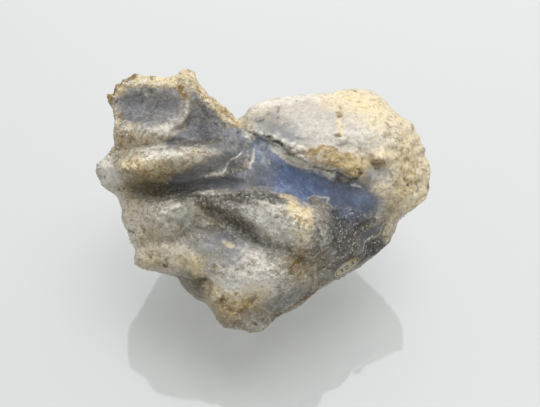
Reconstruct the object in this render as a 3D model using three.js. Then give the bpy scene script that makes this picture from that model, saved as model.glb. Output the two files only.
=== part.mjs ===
// Chalcedony hand specimen with a collector's number label.
//
// One broken lump of grey-blue chalcedony, about 90 mm wide, 70 mm deep and 61 mm high.
// Millimetres, +Z up, +X to the specimen's right, +Y to its back.
// The origin is on the small flat that the lump rests on, below its middle.
//
// The showing side slopes back at 45 degrees. It is described in its own axes:
//   u  across it, to the right
//   v  up the slope
//   w  straight out of it, towards the front and up
// The outline round the showing side is a list of corners, the front is a field of rolled masses,
// hollows and broken planes in w(u, v), and the hidden sides are broken faces and a flat foot.

import * as THREE from 'three';
import { mergeVertices } from 'three/addons/utils/BufferGeometryUtils.js';

// ---------------------------------------------------------------- driving dimensions, mm

const SLOPE = THREE.MathUtils.degToRad(45);
const FACE_CENTRE = new THREE.Vector3(2, 0, 31.8); // the point u = v = w = 0
const TAPER = 1 / 260; // sections across the face narrow by this much for each mm of w
const HUB = { u: -9, v: 3 }; // the outline is seen whole from here
const WAIST_W = 4; // mean depth of the outline
const BACK_W = -32.5; // depth that the hidden side reaches before its faces are broken off
const RIM_SQUARENESS = 6; // how flat the front stays before it turns over the rim
const RIM_TURN = 0.4;
const HOLLOW_ROUND = 1.4; // how gently a hollow starts at its border
const MASS_JOIN = 1.3; // how crisply the masses meet, 1 / mm
const DETAIL = 21; // subdivisions of the starting sphere: 9,680 triangles
const FRONT_SHARE = 0.57; // share of the triangles that go to the showing side
const RELAX_ROUNDS = 1; // times the facets are evened out
const RELAX_SHARE = 0.6; // part of the way to the neighbours' middle each time

const EDGE_ROUND = 1; // worn radius of the broken edges, where a face gives none of its own
const LUMP_SIZES = [9, 4.2]; // spacing of the coarse and fine lumps
const LUMP_HEIGHTS = [1, 0.5];
const FRONT_LUMP_SHARE = 0.35; // the showing side is smoother than the hidden ones
const HEART = new THREE.Vector3(0, 2, 31); // lumps grow away from here

const LABEL_RADIUS = 4;
const LABEL_THICKNESS = 0.25;
const LABEL_GAP = 0.3;
const LABEL_SEGMENTS = 48;
const LABEL_PLACE = { u: 20.6, v: -17, w: 6.4 };
const SEAT_FLAT_RADIUS = 4.6; // the stone is flat under the label as far as this
const SEAT_FADE_RADIUS = 9; // and keeps its own form from here
const SEAT_NEAR_DEPTH = 5; // only surface within these depths belongs to the seat
const SEAT_FAR_DEPTH = 11;
const LABEL_FALL = { du: -1.38, dv: 1.84 }; // slope of the face under the label

// Corners of the outline, anticlockwise from the notch between the horn and the pale lobe:
// u, v and the depth w at which the outline turns.
const OUTLINE = [
  // sloping crust edge of the horn
  [-11.0, 24.8, 2], [-13.3, 26.8, 3], [-15.7, 28.6, 3], [-18.7, 31.7, 4], [-19.9, 33.6, 4],
  [-20.9, 36.1, 4], [-22.7, 36.5, 4],
  // top of the upper hollow
  [-25.2, 35.2, 4], [-27.2, 34.3, 4], [-29.5, 33.9, 4], [-32.9, 34.4, 4], [-36.6, 34.8, 4],
  [-39.9, 33.5, 4], [-41.9, 31.4, 5], [-42.4, 29.5, 5], [-44.0, 29.3, 5], [-43.9, 27.3, 6],
  [-42.6, 25.8, 7], [-41.9, 22.5, 8], [-42.2, 20.1, 8], [-42.4, 15.6, 8],
  // round bump on the left
  [-44.2, 13.3, 8], [-47.2, 10.6, 8], [-47.4, 8, 8], [-45.9, 5.3, 8], [-43.6, 3.4, 7],
  // left flank
  [-41.1, 1.8, 6], [-40.0, -1.2, 6], [-38.9, -5.3, 6], [-37.5, -9.5, 6], [-36.5, -12.7, 6],
  [-36.9, -14.4, 6], [-36.7, -16.6, 6], [-34.4, -18.0, 6], [-30.5, -18.3, 5],
  [-27.5, -19.2, 4], [-24.7, -20.2, 2],
  // recess beside the bottom knob
  [-22.4, -23.2, 1], [-19.7, -25.3, 2], [-16.9, -26.7, 4], [-15.4, -29.0, 7],
  // front tip
  [-14.2, -32.0, 9], [-12.6, -34.2, 11], [-10, -34.2, 12], [-7.6, -34.8, 12], [-5, -35.3, 12],
  [-1.5, -34.3, 11], [-0.4, -32.5, 11], [1.6, -30.9, 10],
  // long lower right edge
  [4.4, -29.1, 9], [9.3, -26.6, 8], [12.9, -23.4, 6], [18.9, -19.9, 4], [24.3, -16.4, 2],
  [28.6, -13.6, 1], [32.5, -10.5, 0], [33.7, -7.7, 0], [34.6, -4.7, 0], [36.4, -2.9, 1],
  // pale lobe, right side
  [39.8, -1.0, 1.5], [42.4, 1.2, 2], [43.3, 4.3, 2], [43.0, 6.4, 2], [43.4, 8.0, 2],
  [43.3, 11.2, 1], [42.3, 13.2, 0], [42.2, 15.0, 0], [40.6, 17.7, -1], [39.2, 19.4, -2],
  [38.8, 21.2, -2], [37.7, 22.9, -3], [35.2, 23.9, -4],
  // pale lobe, top
  [33.2, 25.9, -5], [30.6, 28.1, -6], [27.6, 30.1, -7], [23.6, 31.0, -8], [19.4, 30.6, -8],
  [16.0, 29.6, -7], [11.7, 29.4, -7], [5.3, 29.1, -7], [2.2, 28.5, -6], [-0.6, 27.8, -5],
  [-3.5, 26.8, -4], [-5.6, 25.7, -3], [-6.3, 24.4, -2], [-7.6, 23.5, -1], [-9.1, 22.8, 1],
];

// A rolled mass follows a crest [u, v, w]. Its front falls away from the crest to either side,
// by `drop` at a distance of `above` up the slope or `below` down it.
const LEFT_MASSES = [
  { name: 'upper ledge', above: 2.6, below: 4.5, drop: 3,
    crest: [[-41, 19.4, 12], [-34, 19.2, 13.6], [-28, 19, 13.6], [-21, 16.6, 11.6]] },
  { name: 'septum', above: 3.4, below: 2, drop: 3,
    crest: [[-28, 19.6, 13.4], [-24.8, 21.4, 13.6], [-23, 24.4, 12.8], [-22.2, 28.6, 11.6],
      [-22.4, 32.5, 10.6]] },
  { name: 'upper roll', above: 3.4, below: 4.2, drop: 4.5,
    crest: [[-38.6, 9.8, 18.2], [-33, 11, 19.4], [-25, 12.2, 19.4], [-17, 13, 17.4],
      [-11, 13.6, 14.2]] },
  { name: 'roll shoulder', above: 7, below: 5, drop: 3.5,
    crest: [[-13, 14.2, 13.6], [-9, 16.2, 13], [-5.5, 18.4, 12.2]] },
  { name: 'lower roll', above: 2.6, below: 7, drop: 4,
    crest: [[-22, 1.3, 13.5], [-17, 1.8, 15], [-10, 1.2, 16.5], [-3, 0, 19], [3, -1.6, 21],
      [10, -4.5, 22.5]] },
  { name: 'left mass', above: 5.5, below: 6, drop: 3,
    crest: [[-36, -14.5, 9], [-29, -13.2, 13.5], [-20, -14.5, 16.5]] },
  { name: 'lower mass', above: 8.5, below: 8, drop: 5,
    crest: [[-17, -14.5, 15.5], [-8, -18.5, 19.8], [1, -19, 21.2]] },
  { name: 'bottom knob', above: 7, below: 7, drop: 4.5,
    crest: [[-15.5, -24.2, 15.5], [-9, -23.8, 18.4], [0, -23, 18.6]] },
];
const RIGHT_MASSES = [
  { name: 'crack ridge', above: 1.8, below: 3.6, drop: 1.9,
    crest: [[-6, 20.6, 12.2], [0, 18.4, 12.4], [4, 16.4, 12.6], [9.5, 13.2, 12.7]] },
];

// A knob is a round mass about one point, and `long` and `short` are its half-widths.
const LEFT_KNOBS = [
  { name: 'left bump', u: -43.3, v: 9, w: 12.5, long: 4.2, short: 4.8, turn: 0, drop: 4 },
  { name: 'bulge', u: -26, v: -3.4, w: 16.6, long: 7.5, short: 5.5, turn: 12, drop: 3 },
];
const RIGHT_KNOBS = [
  { name: 'rusty nodule', u: 16.9, v: 11.1, w: 15.2, long: 8, short: 3.8, turn: -21, drop: 2.8 },
  { name: 'small nodule', u: 29.8, v: 12.3, w: 11.4, long: 3.2, short: 2.8, turn: 0, drop: 2.2 },
];

// The two large hollows of the horn are sunk before its masses are joined on, so that the septum
// and the ledge stand between them with their own crests.
const UPPER_HOLLOWS = [
  { name: 'upper hollow', u: -33.6, v: 25.8, long: 9.3, short: 7.9, turn: -8, depth: 5.6 },
  { name: 'side hollow', u: -17.2, v: 20.4, long: 9.8, short: 7.6, turn: -28, depth: 4.6 },
];
const HOLLOWS = [
  { name: 'slope groove', u: -4, v: -8.4, long: 10, short: 3.4, turn: -30, depth: 2.4 },
  { name: 'roll crease', u: -16, v: 4.9, long: 10, short: 2.6, turn: 3, depth: 2.2 },
  { name: 'blue hollow', u: 9, v: 6, long: 10, short: 5.5, turn: -20, depth: 1.6 },
  { name: 'left groove', u: -30, v: 3.2, long: 11, short: 3.2, turn: 2, depth: 3.2 },
  { name: 'slope dent', u: -14.5, v: -8.6, long: 5.5, short: 3, turn: -12, depth: 1.2 },
  { name: 'lower roll crease', u: -8, v: 0.4, long: 6, short: 1.6, turn: -8, depth: 0.7 },
];

// A stepped recess beside the bottom knob: its corners, its depth and half the width of its step.
const RECESS = {
  depth: 4.4,
  step: 0.7,
  corners: [
    [-28, -20.2], [-24, -19.6], [-20.4, -20.4], [-17.6, -20], [-16.4, -21.6], [-16.9, -24],
    [-16, -26.4], [-15.6, -32], [-32, -32], [-32, -21],
  ],
};

// Broken faces of the hidden sides: a point on each, and its outward direction, in X, Y and Z.
// `worn` is the rounding of its edges, in mm.
const BROKEN_FACES = [
  { name: 'behind the horn', at: [-27, 22.5, 59.5], out: [-0.18, 0.94, 0.28], worn: 0.35 },
  { name: 'behind the lobe', at: [22, 31, 50.4], out: [0.12, 0.98, 0.14], worn: 0.35 },
  { name: 'left rear', at: [-40, 4, 24], out: [-0.82, 0.32, -0.47], worn: 2.5 },
  { name: 'right rear', at: [34, 10, 21], out: [0.65, 0.4, -0.64], worn: 2.5 },
  { name: 'back, low left', at: [-14, 30, 16], out: [-0.25, 0.8, -0.55] },
  { name: 'back, low right', at: [16, 28, 15], out: [0.3, 0.75, -0.6] },
  { name: 'under the front tip', at: [-8, -22, 6], out: [-0.15, -0.6, -0.8], worn: 1.5 },
  { name: 'under the right', at: [26, -6, 9], out: [0.5, -0.25, -0.83] },
  { name: 'under the left', at: [-27, -4, 8], out: [-0.55, -0.15, -0.83] },
];

// ---------------------------------------------------------------- the showing side's axes

const ACROSS = new THREE.Vector3(1, 0, 0);
const UPHILL = new THREE.Vector3(0, Math.sin(SLOPE), Math.cos(SLOPE));
const OUTWARD = new THREE.Vector3(0, -Math.cos(SLOPE), Math.sin(SLOPE));

/** The point in X, Y and Z of a place (u, v, w) on the showing side. */
function place(u, v, w) {
  const narrowing = 1 - w * TAPER;
  return FACE_CENTRE.clone()
    .addScaledVector(ACROSS, u * narrowing)
    .addScaledVector(UPHILL, v * narrowing)
    .addScaledVector(OUTWARD, w);
}

// ---------------------------------------------------------------- form helpers

/** The lowest of several depths, with the creases between them rounded by 1 / sharpness. */
function softLowest(sharpness, depths) {
  const lowest = Math.min(...depths);
  const sum = depths.reduce((total, depth) => total + Math.exp((lowest - depth) * sharpness), 0);
  return lowest - Math.log(sum) / sharpness;
}

/** The highest of several depths, rounded in the same way. */
function softHighest(sharpness, depths) {
  return -softLowest(sharpness, depths.map((depth) => -depth));
}

/** Depth of a sloping plane that passes (u0, v0) at depth w0. */
function plane(u, v, [u0, v0, w0], du, dv) {
  return w0 + du * (u - u0) + dv * (v - v0);
}

/** A smooth run of points along a crest. */
function crestPoints(crest) {
  const corners = crest.map(([u, v, w]) => new THREE.Vector3(u, v, w));
  return new THREE.CatmullRomCurve3(corners).getPoints(5 * (corners.length - 1));
}

/** Depth of a rolled mass at (u, v). */
function massDepth(u, v, mass) {
  let nearest = Infinity;
  let crestDepth = 0;
  for (let i = 1; i < mass.points.length; i += 1) {
    const a = mass.points[i - 1];
    const b = mass.points[i];
    const du = b.x - a.x;
    const dv = b.y - a.y;
    const along = ((u - a.x) * du + (v - a.y) * dv) / (du * du + dv * dv);
    const t = THREE.MathUtils.clamp(along, 0, 1);
    const offU = u - a.x - t * du;
    const offV = v - a.y - t * dv;
    const gap = Math.hypot(offU, offV);
    const side = (du * offV - dv * offU) / (Math.hypot(du, dv) * gap || 1);
    const distance = gap / THREE.MathUtils.lerp(mass.below, mass.above, (1 + side) / 2);
    if (distance < nearest) {
      nearest = distance;
      crestDepth = THREE.MathUtils.lerp(a.z, b.z, t);
    }
  }
  return crestDepth - mass.drop * nearest * nearest;
}

/** Squared distance of (u, v) from a turned ellipse's middle, 1 on the ellipse itself. */
function ellipseDistance(u, v, shape) {
  const turn = THREE.MathUtils.degToRad(shape.turn);
  const along = (u - shape.u) * Math.cos(turn) + (v - shape.v) * Math.sin(turn);
  const across = (v - shape.v) * Math.cos(turn) - (u - shape.u) * Math.sin(turn);
  return (along / shape.long) ** 2 + (across / shape.short) ** 2;
}

/** Depth of a round knob at (u, v). */
function knobDepth(u, v, knob) {
  return knob.w - knob.drop * ellipseDistance(u, v, knob);
}

/** How far some hollows sink the front at (u, v). */
function hollowDepth(u, v, hollows) {
  const depths = hollows.map((hollow) => (
    hollow.depth * Math.max(0, 1 - ellipseDistance(u, v, hollow)) ** HOLLOW_ROUND));
  return depths.reduce((total, depth) => total + depth, 0);
}

/** How far the recess sinks the front at (u, v). */
function recessDepth(u, v) {
  const { corners, depth, step } = RECESS;
  let inside = false;
  let nearest = Infinity;
  corners.forEach(([u1, v1], i) => {
    const [u0, v0] = corners.at(i - 1);
    const du = u1 - u0;
    const dv = v1 - v0;
    const along = ((u - u0) * du + (v - v0) * dv) / (du * du + dv * dv);
    const t = THREE.MathUtils.clamp(along, 0, 1);
    nearest = Math.min(nearest, Math.hypot(u - u0 - t * du, v - v0 - t * dv));
    if ((v0 > v) !== (v1 > v) && u < u0 + ((v - v0) * du) / dv) {
      inside = !inside;
    }
  });
  return depth * THREE.MathUtils.smoothstep(inside ? nearest : -nearest, -step, step);
}

// ---------------------------------------------------------------- front of the specimen

for (const mass of [...LEFT_MASSES, ...RIGHT_MASSES]) {
  mass.points = crestPoints(mass.crest);
}

/** Dark lower right face, which falls away from the edge under the lower roll. */
function lowerRightFace(u, v) {
  return plane(u, v, [12.5, -5, 21], -0.74, 0.41);
}

/** Front of the rolled left block, with the horn. */
function leftBlock(u, v) {
  const body = plane(u, v, [-20, 4, 12.6], 0.12, -0.1);
  const rightFall = plane(u, v, [-4, 8, 11.5], -1.3, -0.25);
  const ground = softLowest(1, [body, rightFall]) - hollowDepth(u, v, UPPER_HOLLOWS);
  const masses = LEFT_MASSES.map((mass) => massDepth(u, v, mass));
  const knobs = LEFT_KNOBS.map((knob) => knobDepth(u, v, knob));
  const rolled = softHighest(MASS_JOIN, [ground, ...masses, ...knobs]);
  const bluntEnd = plane(u, v, [12.6, -4, 22], -2.2, -0.3);
  return softLowest(1.6, [rolled, lowerRightFace(u, v) + 0.5, bluntEnd, 23]);
}

/** Front of the right side: the blue break, the dark lower face and the pale lobe. */
function rightBlock(u, v) {
  const blueRight = plane(u, v, [8, 6, 14.6], -0.28, 0.02);
  const blueLeft = plane(u, v, [-2, 8, 13.2], 0.25, 0);
  const lobeFront = plane(u, v, [15, 14, 11.8], -0.06, 0.12) - 0.01 * Math.max(0, u - 18) ** 2;
  const lobeTop = plane(u, v, [17, 20, 10], -0.02, -0.75) - 0.035 * Math.max(0, v - 18) ** 2;
  const lobeSide = plane(u, v, [35, 8, 8.8], -0.8, 0.05) - 0.02 * (v - 8) ** 2;
  const notch = plane(u, v, [-4, 20, 13], 1.1, -1.2);
  const blue = softLowest(0.9, [blueRight, blueLeft]);
  const lobe = softLowest(0.9, [lobeFront, lobeTop, lobeSide]);
  return softLowest(0.9, [blue, lowerRightFace(u, v), lobe, notch]);
}

/** Depth of the whole front at (u, v). */
function frontDepth(u, v) {
  const masses = RIGHT_MASSES.map((mass) => massDepth(u, v, mass));
  const knobs = RIGHT_KNOBS.map((knob) => knobDepth(u, v, knob));
  const blocks = [leftBlock(u, v), rightBlock(u, v)];
  const relief = softHighest(MASS_JOIN, [...blocks, ...masses, ...knobs]);
  return relief - hollowDepth(u, v, HOLLOWS) - recessDepth(u, v);
}

// ---------------------------------------------------------------- outline

/** The outline's point at a share of its length, starting level with the hub on the right. */
class Outline {
  constructor(corners) {
    const angles = corners.map(([u, v]) => Math.abs(Math.atan2(v - HUB.v, u - HUB.u)));
    const start = angles.indexOf(Math.min(...angles));
    this.corners = [...corners.slice(start), ...corners.slice(0, start + 1)];
    this.lengths = [0];
    for (let i = 1; i < this.corners.length; i += 1) {
      const [u0, v0] = this.corners[i - 1];
      const [u1, v1] = this.corners[i];
      this.lengths.push(this.lengths[i - 1] + Math.hypot(u1 - u0, v1 - v0));
    }
  }

  at(share) {
    const length = share * this.lengths.at(-1);
    const next = Math.max(1, this.lengths.findIndex((end) => end >= length));
    const run = this.lengths[next] - this.lengths[next - 1];
    const t = (length - this.lengths[next - 1]) / run;
    return this.corners[next].map((end, k) => (
      THREE.MathUtils.lerp(this.corners[next - 1][k], end, t)));
  }
}

// ---------------------------------------------------------------- lumps and broken faces

/** A repeatable value between -1 and 1 for a point of a whole-number grid. */
function gridValue(x, y, z, seed) {
  let mixed = Math.imul(x, 374761393) + Math.imul(y, 668265263);
  mixed = (mixed + Math.imul(z, 1274126177) + Math.imul(seed, 971)) >>> 0;
  mixed = Math.imul(mixed ^ (mixed >>> 13), 1103515245) >>> 0;
  return ((mixed ^ (mixed >>> 16)) & 0xffff) / 32767.5 - 1;
}

/** Smooth lumps of a given spacing, between -1 and 1. */
function lumps(point, spacing, seed) {
  const at = point.clone().divideScalar(spacing);
  const cell = at.clone().floor();
  const part = at.clone().sub(cell);
  const share = part.clone().multiply(part).multiply(
    new THREE.Vector3(3, 3, 3).addScaledVector(part, -2));
  let sum = 0;
  for (const x of [0, 1]) {
    for (const y of [0, 1]) {
      for (const z of [0, 1]) {
        const weight = (x ? share.x : 1 - share.x)
          * (y ? share.y : 1 - share.y)
          * (z ? share.z : 1 - share.z);
        sum += weight * gridValue(cell.x + x, cell.y + y, cell.z + z, seed);
      }
    }
  }
  return sum;
}

/** Moves a point that lies outside a broken face back onto it, with a worn edge. */
function breakOff(point, face) {
  const out = new THREE.Vector3(...face.out).normalize();
  const over = point.clone().sub(new THREE.Vector3(...face.at)).dot(out);
  const worn = face.worn ?? EDGE_ROUND;
  const rounded = worn * Math.log1p(Math.exp(Math.min(over / worn, 8)));
  point.addScaledVector(out, -(over > 8 * worn ? over : rounded));
}

/** Raises or sinks a point by the lumps there. */
function addLumps(point, share) {
  const height = LUMP_SIZES.reduce((total, spacing, k) => (
    total + LUMP_HEIGHTS[k] * lumps(point, spacing, k + 1)), 0);
  const away = point.clone().sub(HEART).normalize();
  point.addScaledVector(away, height * share);
}

// ---------------------------------------------------------------- seat of the label

const labelOut = new THREE.Vector3()
  .addScaledVector(ACROSS, -LABEL_FALL.du)
  .addScaledVector(UPHILL, -LABEL_FALL.dv)
  .add(OUTWARD)
  .normalize();
const labelSeat = place(LABEL_PLACE.u, LABEL_PLACE.v, LABEL_PLACE.w);

/** Moves a point near the label onto the label's plane. */
function flattenSeat(point) {
  const over = point.clone().sub(labelSeat).dot(labelOut);
  const radius = point.clone().addScaledVector(labelOut, -over).distanceTo(labelSeat);
  const near = 1 - THREE.MathUtils.smoothstep(radius, SEAT_FLAT_RADIUS, SEAT_FADE_RADIUS);
  const shallow = 1 - THREE.MathUtils.smoothstep(-over, SEAT_NEAR_DEPTH, SEAT_FAR_DEPTH);
  point.addScaledVector(labelOut, -over * near * shallow);
}

// ---------------------------------------------------------------- the stone

/** Whether a height on the starting sphere is on the showing side, and how near the outline. */
function sideOf(z) {
  const border = 1 - 2 * FRONT_SHARE;
  if (z >= border) {
    const reach = Math.sqrt(Math.max(0, (1 - z) / (1 - border)));
    return { showing: true, spread: 0.5 * reach + 0.5 * Math.sin((reach * Math.PI) / 2) };
  }
  const share = Math.max(0, (1 + z) / (1 + border));
  return { showing: false, spread: Math.sqrt(share * (2 - share)) };
}

/** The point of the stone's surface for a direction of the starting sphere. */
function surfacePoint(direction, outline) {
  const share = (Math.atan2(direction.y, direction.x) / (2 * Math.PI) + 1) % 1;
  const [rimU, rimV, rimW] = outline.at(share);
  const { showing, spread } = sideOf(direction.z);
  const u = THREE.MathUtils.lerp(HUB.u, rimU, spread);
  const v = THREE.MathUtils.lerp(HUB.v, rimV, spread);
  const waist = THREE.MathUtils.lerp(WAIST_W, rimW, spread * spread);
  const open = (1 - spread ** RIM_SQUARENESS) ** RIM_TURN;
  const sheet = showing ? frontDepth(u, v) : BACK_W;
  const point = place(u, v, THREE.MathUtils.lerp(waist, sheet, open));
  BROKEN_FACES.forEach((face) => breakOff(point, face));
  addLumps(point, showing ? FRONT_LUMP_SHARE : 1);
  return point;
}

/** Moves each point part of the way to the middle of its neighbours, which evens the facets. */
function relax(points, index) {
  const sums = points.map(() => new THREE.Vector3());
  const counts = points.map(() => 0);
  for (let i = 0; i < index.count; i += 1) {
    const next = i % 3 === 2 ? i - 2 : i + 1;
    const from = index.getX(i);
    sums[from].add(points[index.getX(next)]);
    counts[from] += 1;
  }
  return points.map((point, i) => (
    point.clone().lerp(sums[i].divideScalar(counts[i]), RELAX_SHARE)));
}

function makeStone() {
  const sphere = new THREE.IcosahedronGeometry(1, DETAIL);
  sphere.deleteAttribute('normal');
  sphere.deleteAttribute('uv');
  const geometry = mergeVertices(sphere, 1e-5);
  const outline = new Outline(OUTLINE);
  const position = geometry.getAttribute('position');
  const direction = new THREE.Vector3();
  let points = [];
  for (let i = 0; i < position.count; i += 1) {
    direction.fromBufferAttribute(position, i).normalize();
    points.push(surfacePoint(direction, outline));
  }
  for (let round = 0; round < RELAX_ROUNDS; round += 1) {
    points = relax(points, geometry.index);
  }
  points.forEach((point, i) => {
    flattenSeat(point);
    position.setXYZ(i, point.x, point.y, Math.max(0, point.z));
  });
  geometry.computeVertexNormals();
  const material = new THREE.MeshStandardMaterial({
    color: 0xa9a8a6,
    roughness: 0.45,
    metalness: 0,
    flatShading: true,
  });
  const stone = new THREE.Mesh(geometry, material);
  stone.name = 'stone';
  return stone;
}

// ---------------------------------------------------------------- the label

/** A thin round paper label that lies flat on its seat, one small gap off the stone. */
function makeLabel() {
  const geometry = new THREE.CylinderGeometry(
    LABEL_RADIUS, LABEL_RADIUS, LABEL_THICKNESS, LABEL_SEGMENTS);
  const material = new THREE.MeshStandardMaterial({
    color: 0xd8d3bd,
    roughness: 0.8,
    metalness: 0,
  });
  const label = new THREE.Mesh(geometry, material);
  label.name = 'number_label';
  label.quaternion.setFromUnitVectors(new THREE.Vector3(0, 1, 0), labelOut);
  label.position.copy(labelSeat).addScaledVector(labelOut, LABEL_GAP + LABEL_THICKNESS / 2);
  return label;
}

const specimen = new THREE.Group();
specimen.add(makeStone());
specimen.add(makeLabel());

export default specimen;
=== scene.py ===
"""Chalcedony hand specimen with a collector's number label, for Blender 4.5.

The stone's form is worked out in millimetres in the axes of its sloping, showing side: u across
it, v up the slope and w straight out of it, towards the front and up. Meshes are in metres.
"""

import logging
import math
from collections.abc import Sequence
from dataclasses import dataclass, field
from enum import Enum

import bpy
import numpy as np
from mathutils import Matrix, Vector


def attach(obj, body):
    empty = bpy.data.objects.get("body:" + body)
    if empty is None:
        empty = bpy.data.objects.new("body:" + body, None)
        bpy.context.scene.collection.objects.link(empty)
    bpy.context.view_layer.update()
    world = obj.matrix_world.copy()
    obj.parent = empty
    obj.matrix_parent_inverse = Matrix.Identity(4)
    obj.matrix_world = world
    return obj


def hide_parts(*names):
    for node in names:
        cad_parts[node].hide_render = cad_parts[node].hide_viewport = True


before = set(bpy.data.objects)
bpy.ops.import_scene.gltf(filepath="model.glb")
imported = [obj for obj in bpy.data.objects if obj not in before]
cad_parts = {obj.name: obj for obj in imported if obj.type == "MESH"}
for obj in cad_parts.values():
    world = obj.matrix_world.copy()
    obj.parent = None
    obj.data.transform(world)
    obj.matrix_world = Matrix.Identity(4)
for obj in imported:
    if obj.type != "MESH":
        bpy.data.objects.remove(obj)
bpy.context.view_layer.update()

LOG = logging.getLogger("specimen")
MM = 0.001
BODY = "root"
Array = np.ndarray
Colour = tuple[float, float, float]


# ------------------------------------------------------------------ small maths

def smooth_step(x: Array, low: float, high: float) -> Array:
    """Rises from 0 at low to 1 at high with soft ends.

    Args:
        x: Values to test.
        low: Where the rise starts.
        high: Where it ends; it may be less than low, for a fall.

    Returns:
        Shares between 0 and 1.
    """
    t = np.clip((x - low) / (high - low), 0.0, 1.0)
    return t * t * (3.0 - 2.0 * t)


def soft_lowest(sharpness: float, *depths: Array) -> Array:
    """The lowest of several depths, its creases rounded by 1 / sharpness.

    Args:
        sharpness: How crisp a crease between two depths is, per mm.
        depths: Depths over the same points.

    Returns:
        The rounded lowest depth.
    """
    lowest = np.minimum.reduce(depths)
    total = sum(np.exp((lowest - depth) * sharpness) for depth in depths)
    return lowest - np.log(total) / sharpness


def soft_highest(sharpness: float, *depths: Array) -> Array:
    """The highest of several depths, rounded as soft_lowest rounds."""
    return -soft_lowest(sharpness, *[-depth for depth in depths])


def unit(vector: Array) -> Array:
    """Vectors brought to length 1."""
    return vector / np.maximum(np.linalg.norm(vector, axis=-1, keepdims=True), 1e-12)


def curve_points(corners: tuple[tuple[float, ...], ...], steps: int = 5) -> Array:
    """A smooth run of points through the corners.

    Args:
        corners: Points that the run passes.
        steps: Points for each stretch between two corners.

    Returns:
        The points of the run, one row each.
    """
    p = np.array(corners, float)
    p = np.vstack([2 * p[0] - p[1], p, 2 * p[-1] - p[-2]])
    run = []
    for a, b, c, d in zip(p[:-3], p[1:-2], p[2:-1], p[3:]):
        for t in np.arange(steps) / steps:
            run.append(0.5 * (2 * b + (c - a) * t + (2 * a - 5 * b + 4 * c - d) * t ** 2
                              + (3 * b - a - 3 * c + d) * t ** 3))
    return np.array([*run, p[-2]])


def turned(u: Array, v: Array, degrees: float) -> tuple[Array, Array]:
    """Places along and across axes turned anticlockwise from u and v."""
    cos, sin = math.cos(math.radians(degrees)), math.sin(math.radians(degrees))
    return u * cos + v * sin, v * cos - u * sin


def from_stretch(u: Array, v: Array, a: Sequence[float],
                 b: Sequence[float]) -> tuple[Array, Array, Array]:
    """Where places lie beside a straight stretch.

    Args:
        u: Places across.
        v: Places up.
        a: The start of the stretch.
        b: Its end.

    Returns:
        Shares of the way from a to b, distances from the stretch, and sides: the sine of the
        angle to the left of the stretch times the distance and the stretch's length.
    """
    du, dv = b[0] - a[0], b[1] - a[1]
    share = np.clip(((u - a[0]) * du + (v - a[1]) * dv) / (du * du + dv * dv), 0.0, 1.0)
    off_u, off_v = u - a[0] - share * du, v - a[1] - share * dv
    return share, np.hypot(off_u, off_v), du * off_v - dv * off_u


@dataclass(frozen=True)
class Lumps:
    """Smooth repeatable lumps between -1 and 1, with their spacing in mm."""

    spacing: float
    seed: int
    octaves: int = 1
    fade: float = 0.5
    finer: float = 2.03

    @staticmethod
    def grid_value(cell: Array, seed: int) -> Array:
        """Repeatable values for points of a whole-number grid.

        Args:
            cell: Rows of three whole numbers.
            seed: Which set of values.

        Returns:
            Values between -1 and 1, scattered by mixing the bits of the numbers.
        """
        word = 0xFFFFFFFF
        mixed = cell[:, 0] * 374761393 + cell[:, 1] * 668265263 + cell[:, 2] * 1274126177
        mixed = (mixed + seed * 971) & word
        mixed = ((mixed ^ (mixed >> 13)) * 1103515245) & word
        return ((mixed ^ (mixed >> 16)) & 0xFFFF) / 32767.5 - 1.0

    def layer(self, points: Array, spacing: float, seed: int) -> Array:
        """One layer of lumps.

        Args:
            points: Places, in mm.
            spacing: Spacing of this layer.
            seed: Seed of this layer.

        Returns:
            Heights between -1 and 1.
        """
        at = points / spacing
        cell = np.floor(at).astype(np.int64)
        share = at - cell
        share = share * share * (3.0 - 2.0 * share)
        height = np.zeros(len(points))
        for corner in np.ndindex(2, 2, 2):
            weight = np.prod(np.where(corner, share, 1.0 - share), axis=1)
            height += weight * self.grid_value(cell + np.array(corner), seed)
        return height

    def at(self, points: Array) -> Array:
        """Heights of all layers together, each finer and lower than the last."""
        return sum(self.layer(points, self.spacing / self.finer ** k, self.seed + 17 * k)
                   * self.fade ** k for k in range(self.octaves))


@dataclass(frozen=True)
class Ripples:
    """Lumps drawn out along a direction of the showing side, with their sizes in mm."""

    height: float
    turn: float
    long: float
    short: float
    seed: int

    def at(self, u: Array, v: Array) -> Array:
        """Heights at (u, v)."""
        along, across = turned(u, v, self.turn)
        return self.height * Lumps(1.0, self.seed, octaves=2).at(
            np.stack([along / self.long, across / self.short, 0.0 * u], axis=1))


@dataclass(frozen=True)
class Grains:
    """Packed crystal grains, each round a seed point of its own, with their sizes in mm."""

    size: float
    dome: float
    step: float
    seed: int
    jitter: float = 0.45
    shoulder: float = 0.55

    def at(self, points: Array) -> Array:
        """Heights of domed grains, each of which stands higher or lower than the next.

        Args:
            points: Places, in mm.

        Returns:
            Heights, in mm.
        """
        at = points / self.size
        cell = np.floor(at).astype(np.int64)
        nearest = np.full(len(points), np.inf)
        mark = np.zeros(len(points))
        for step in np.ndindex(3, 3, 3):
            near = cell + np.array(step) - 1
            middle = np.stack([0.5 + self.jitter * Lumps.grid_value(near, self.seed + k)
                               for k in range(3)], axis=1)
            gap = np.linalg.norm(at - near - middle, axis=1)
            closer = gap < nearest
            nearest = np.where(closer, gap, nearest)
            mark = np.where(closer, Lumps.grid_value(near, self.seed + 7), mark)
        return self.dome * (self.shoulder - nearest) + self.step * mark


# ------------------------------------------------------------------ the showing side

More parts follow.
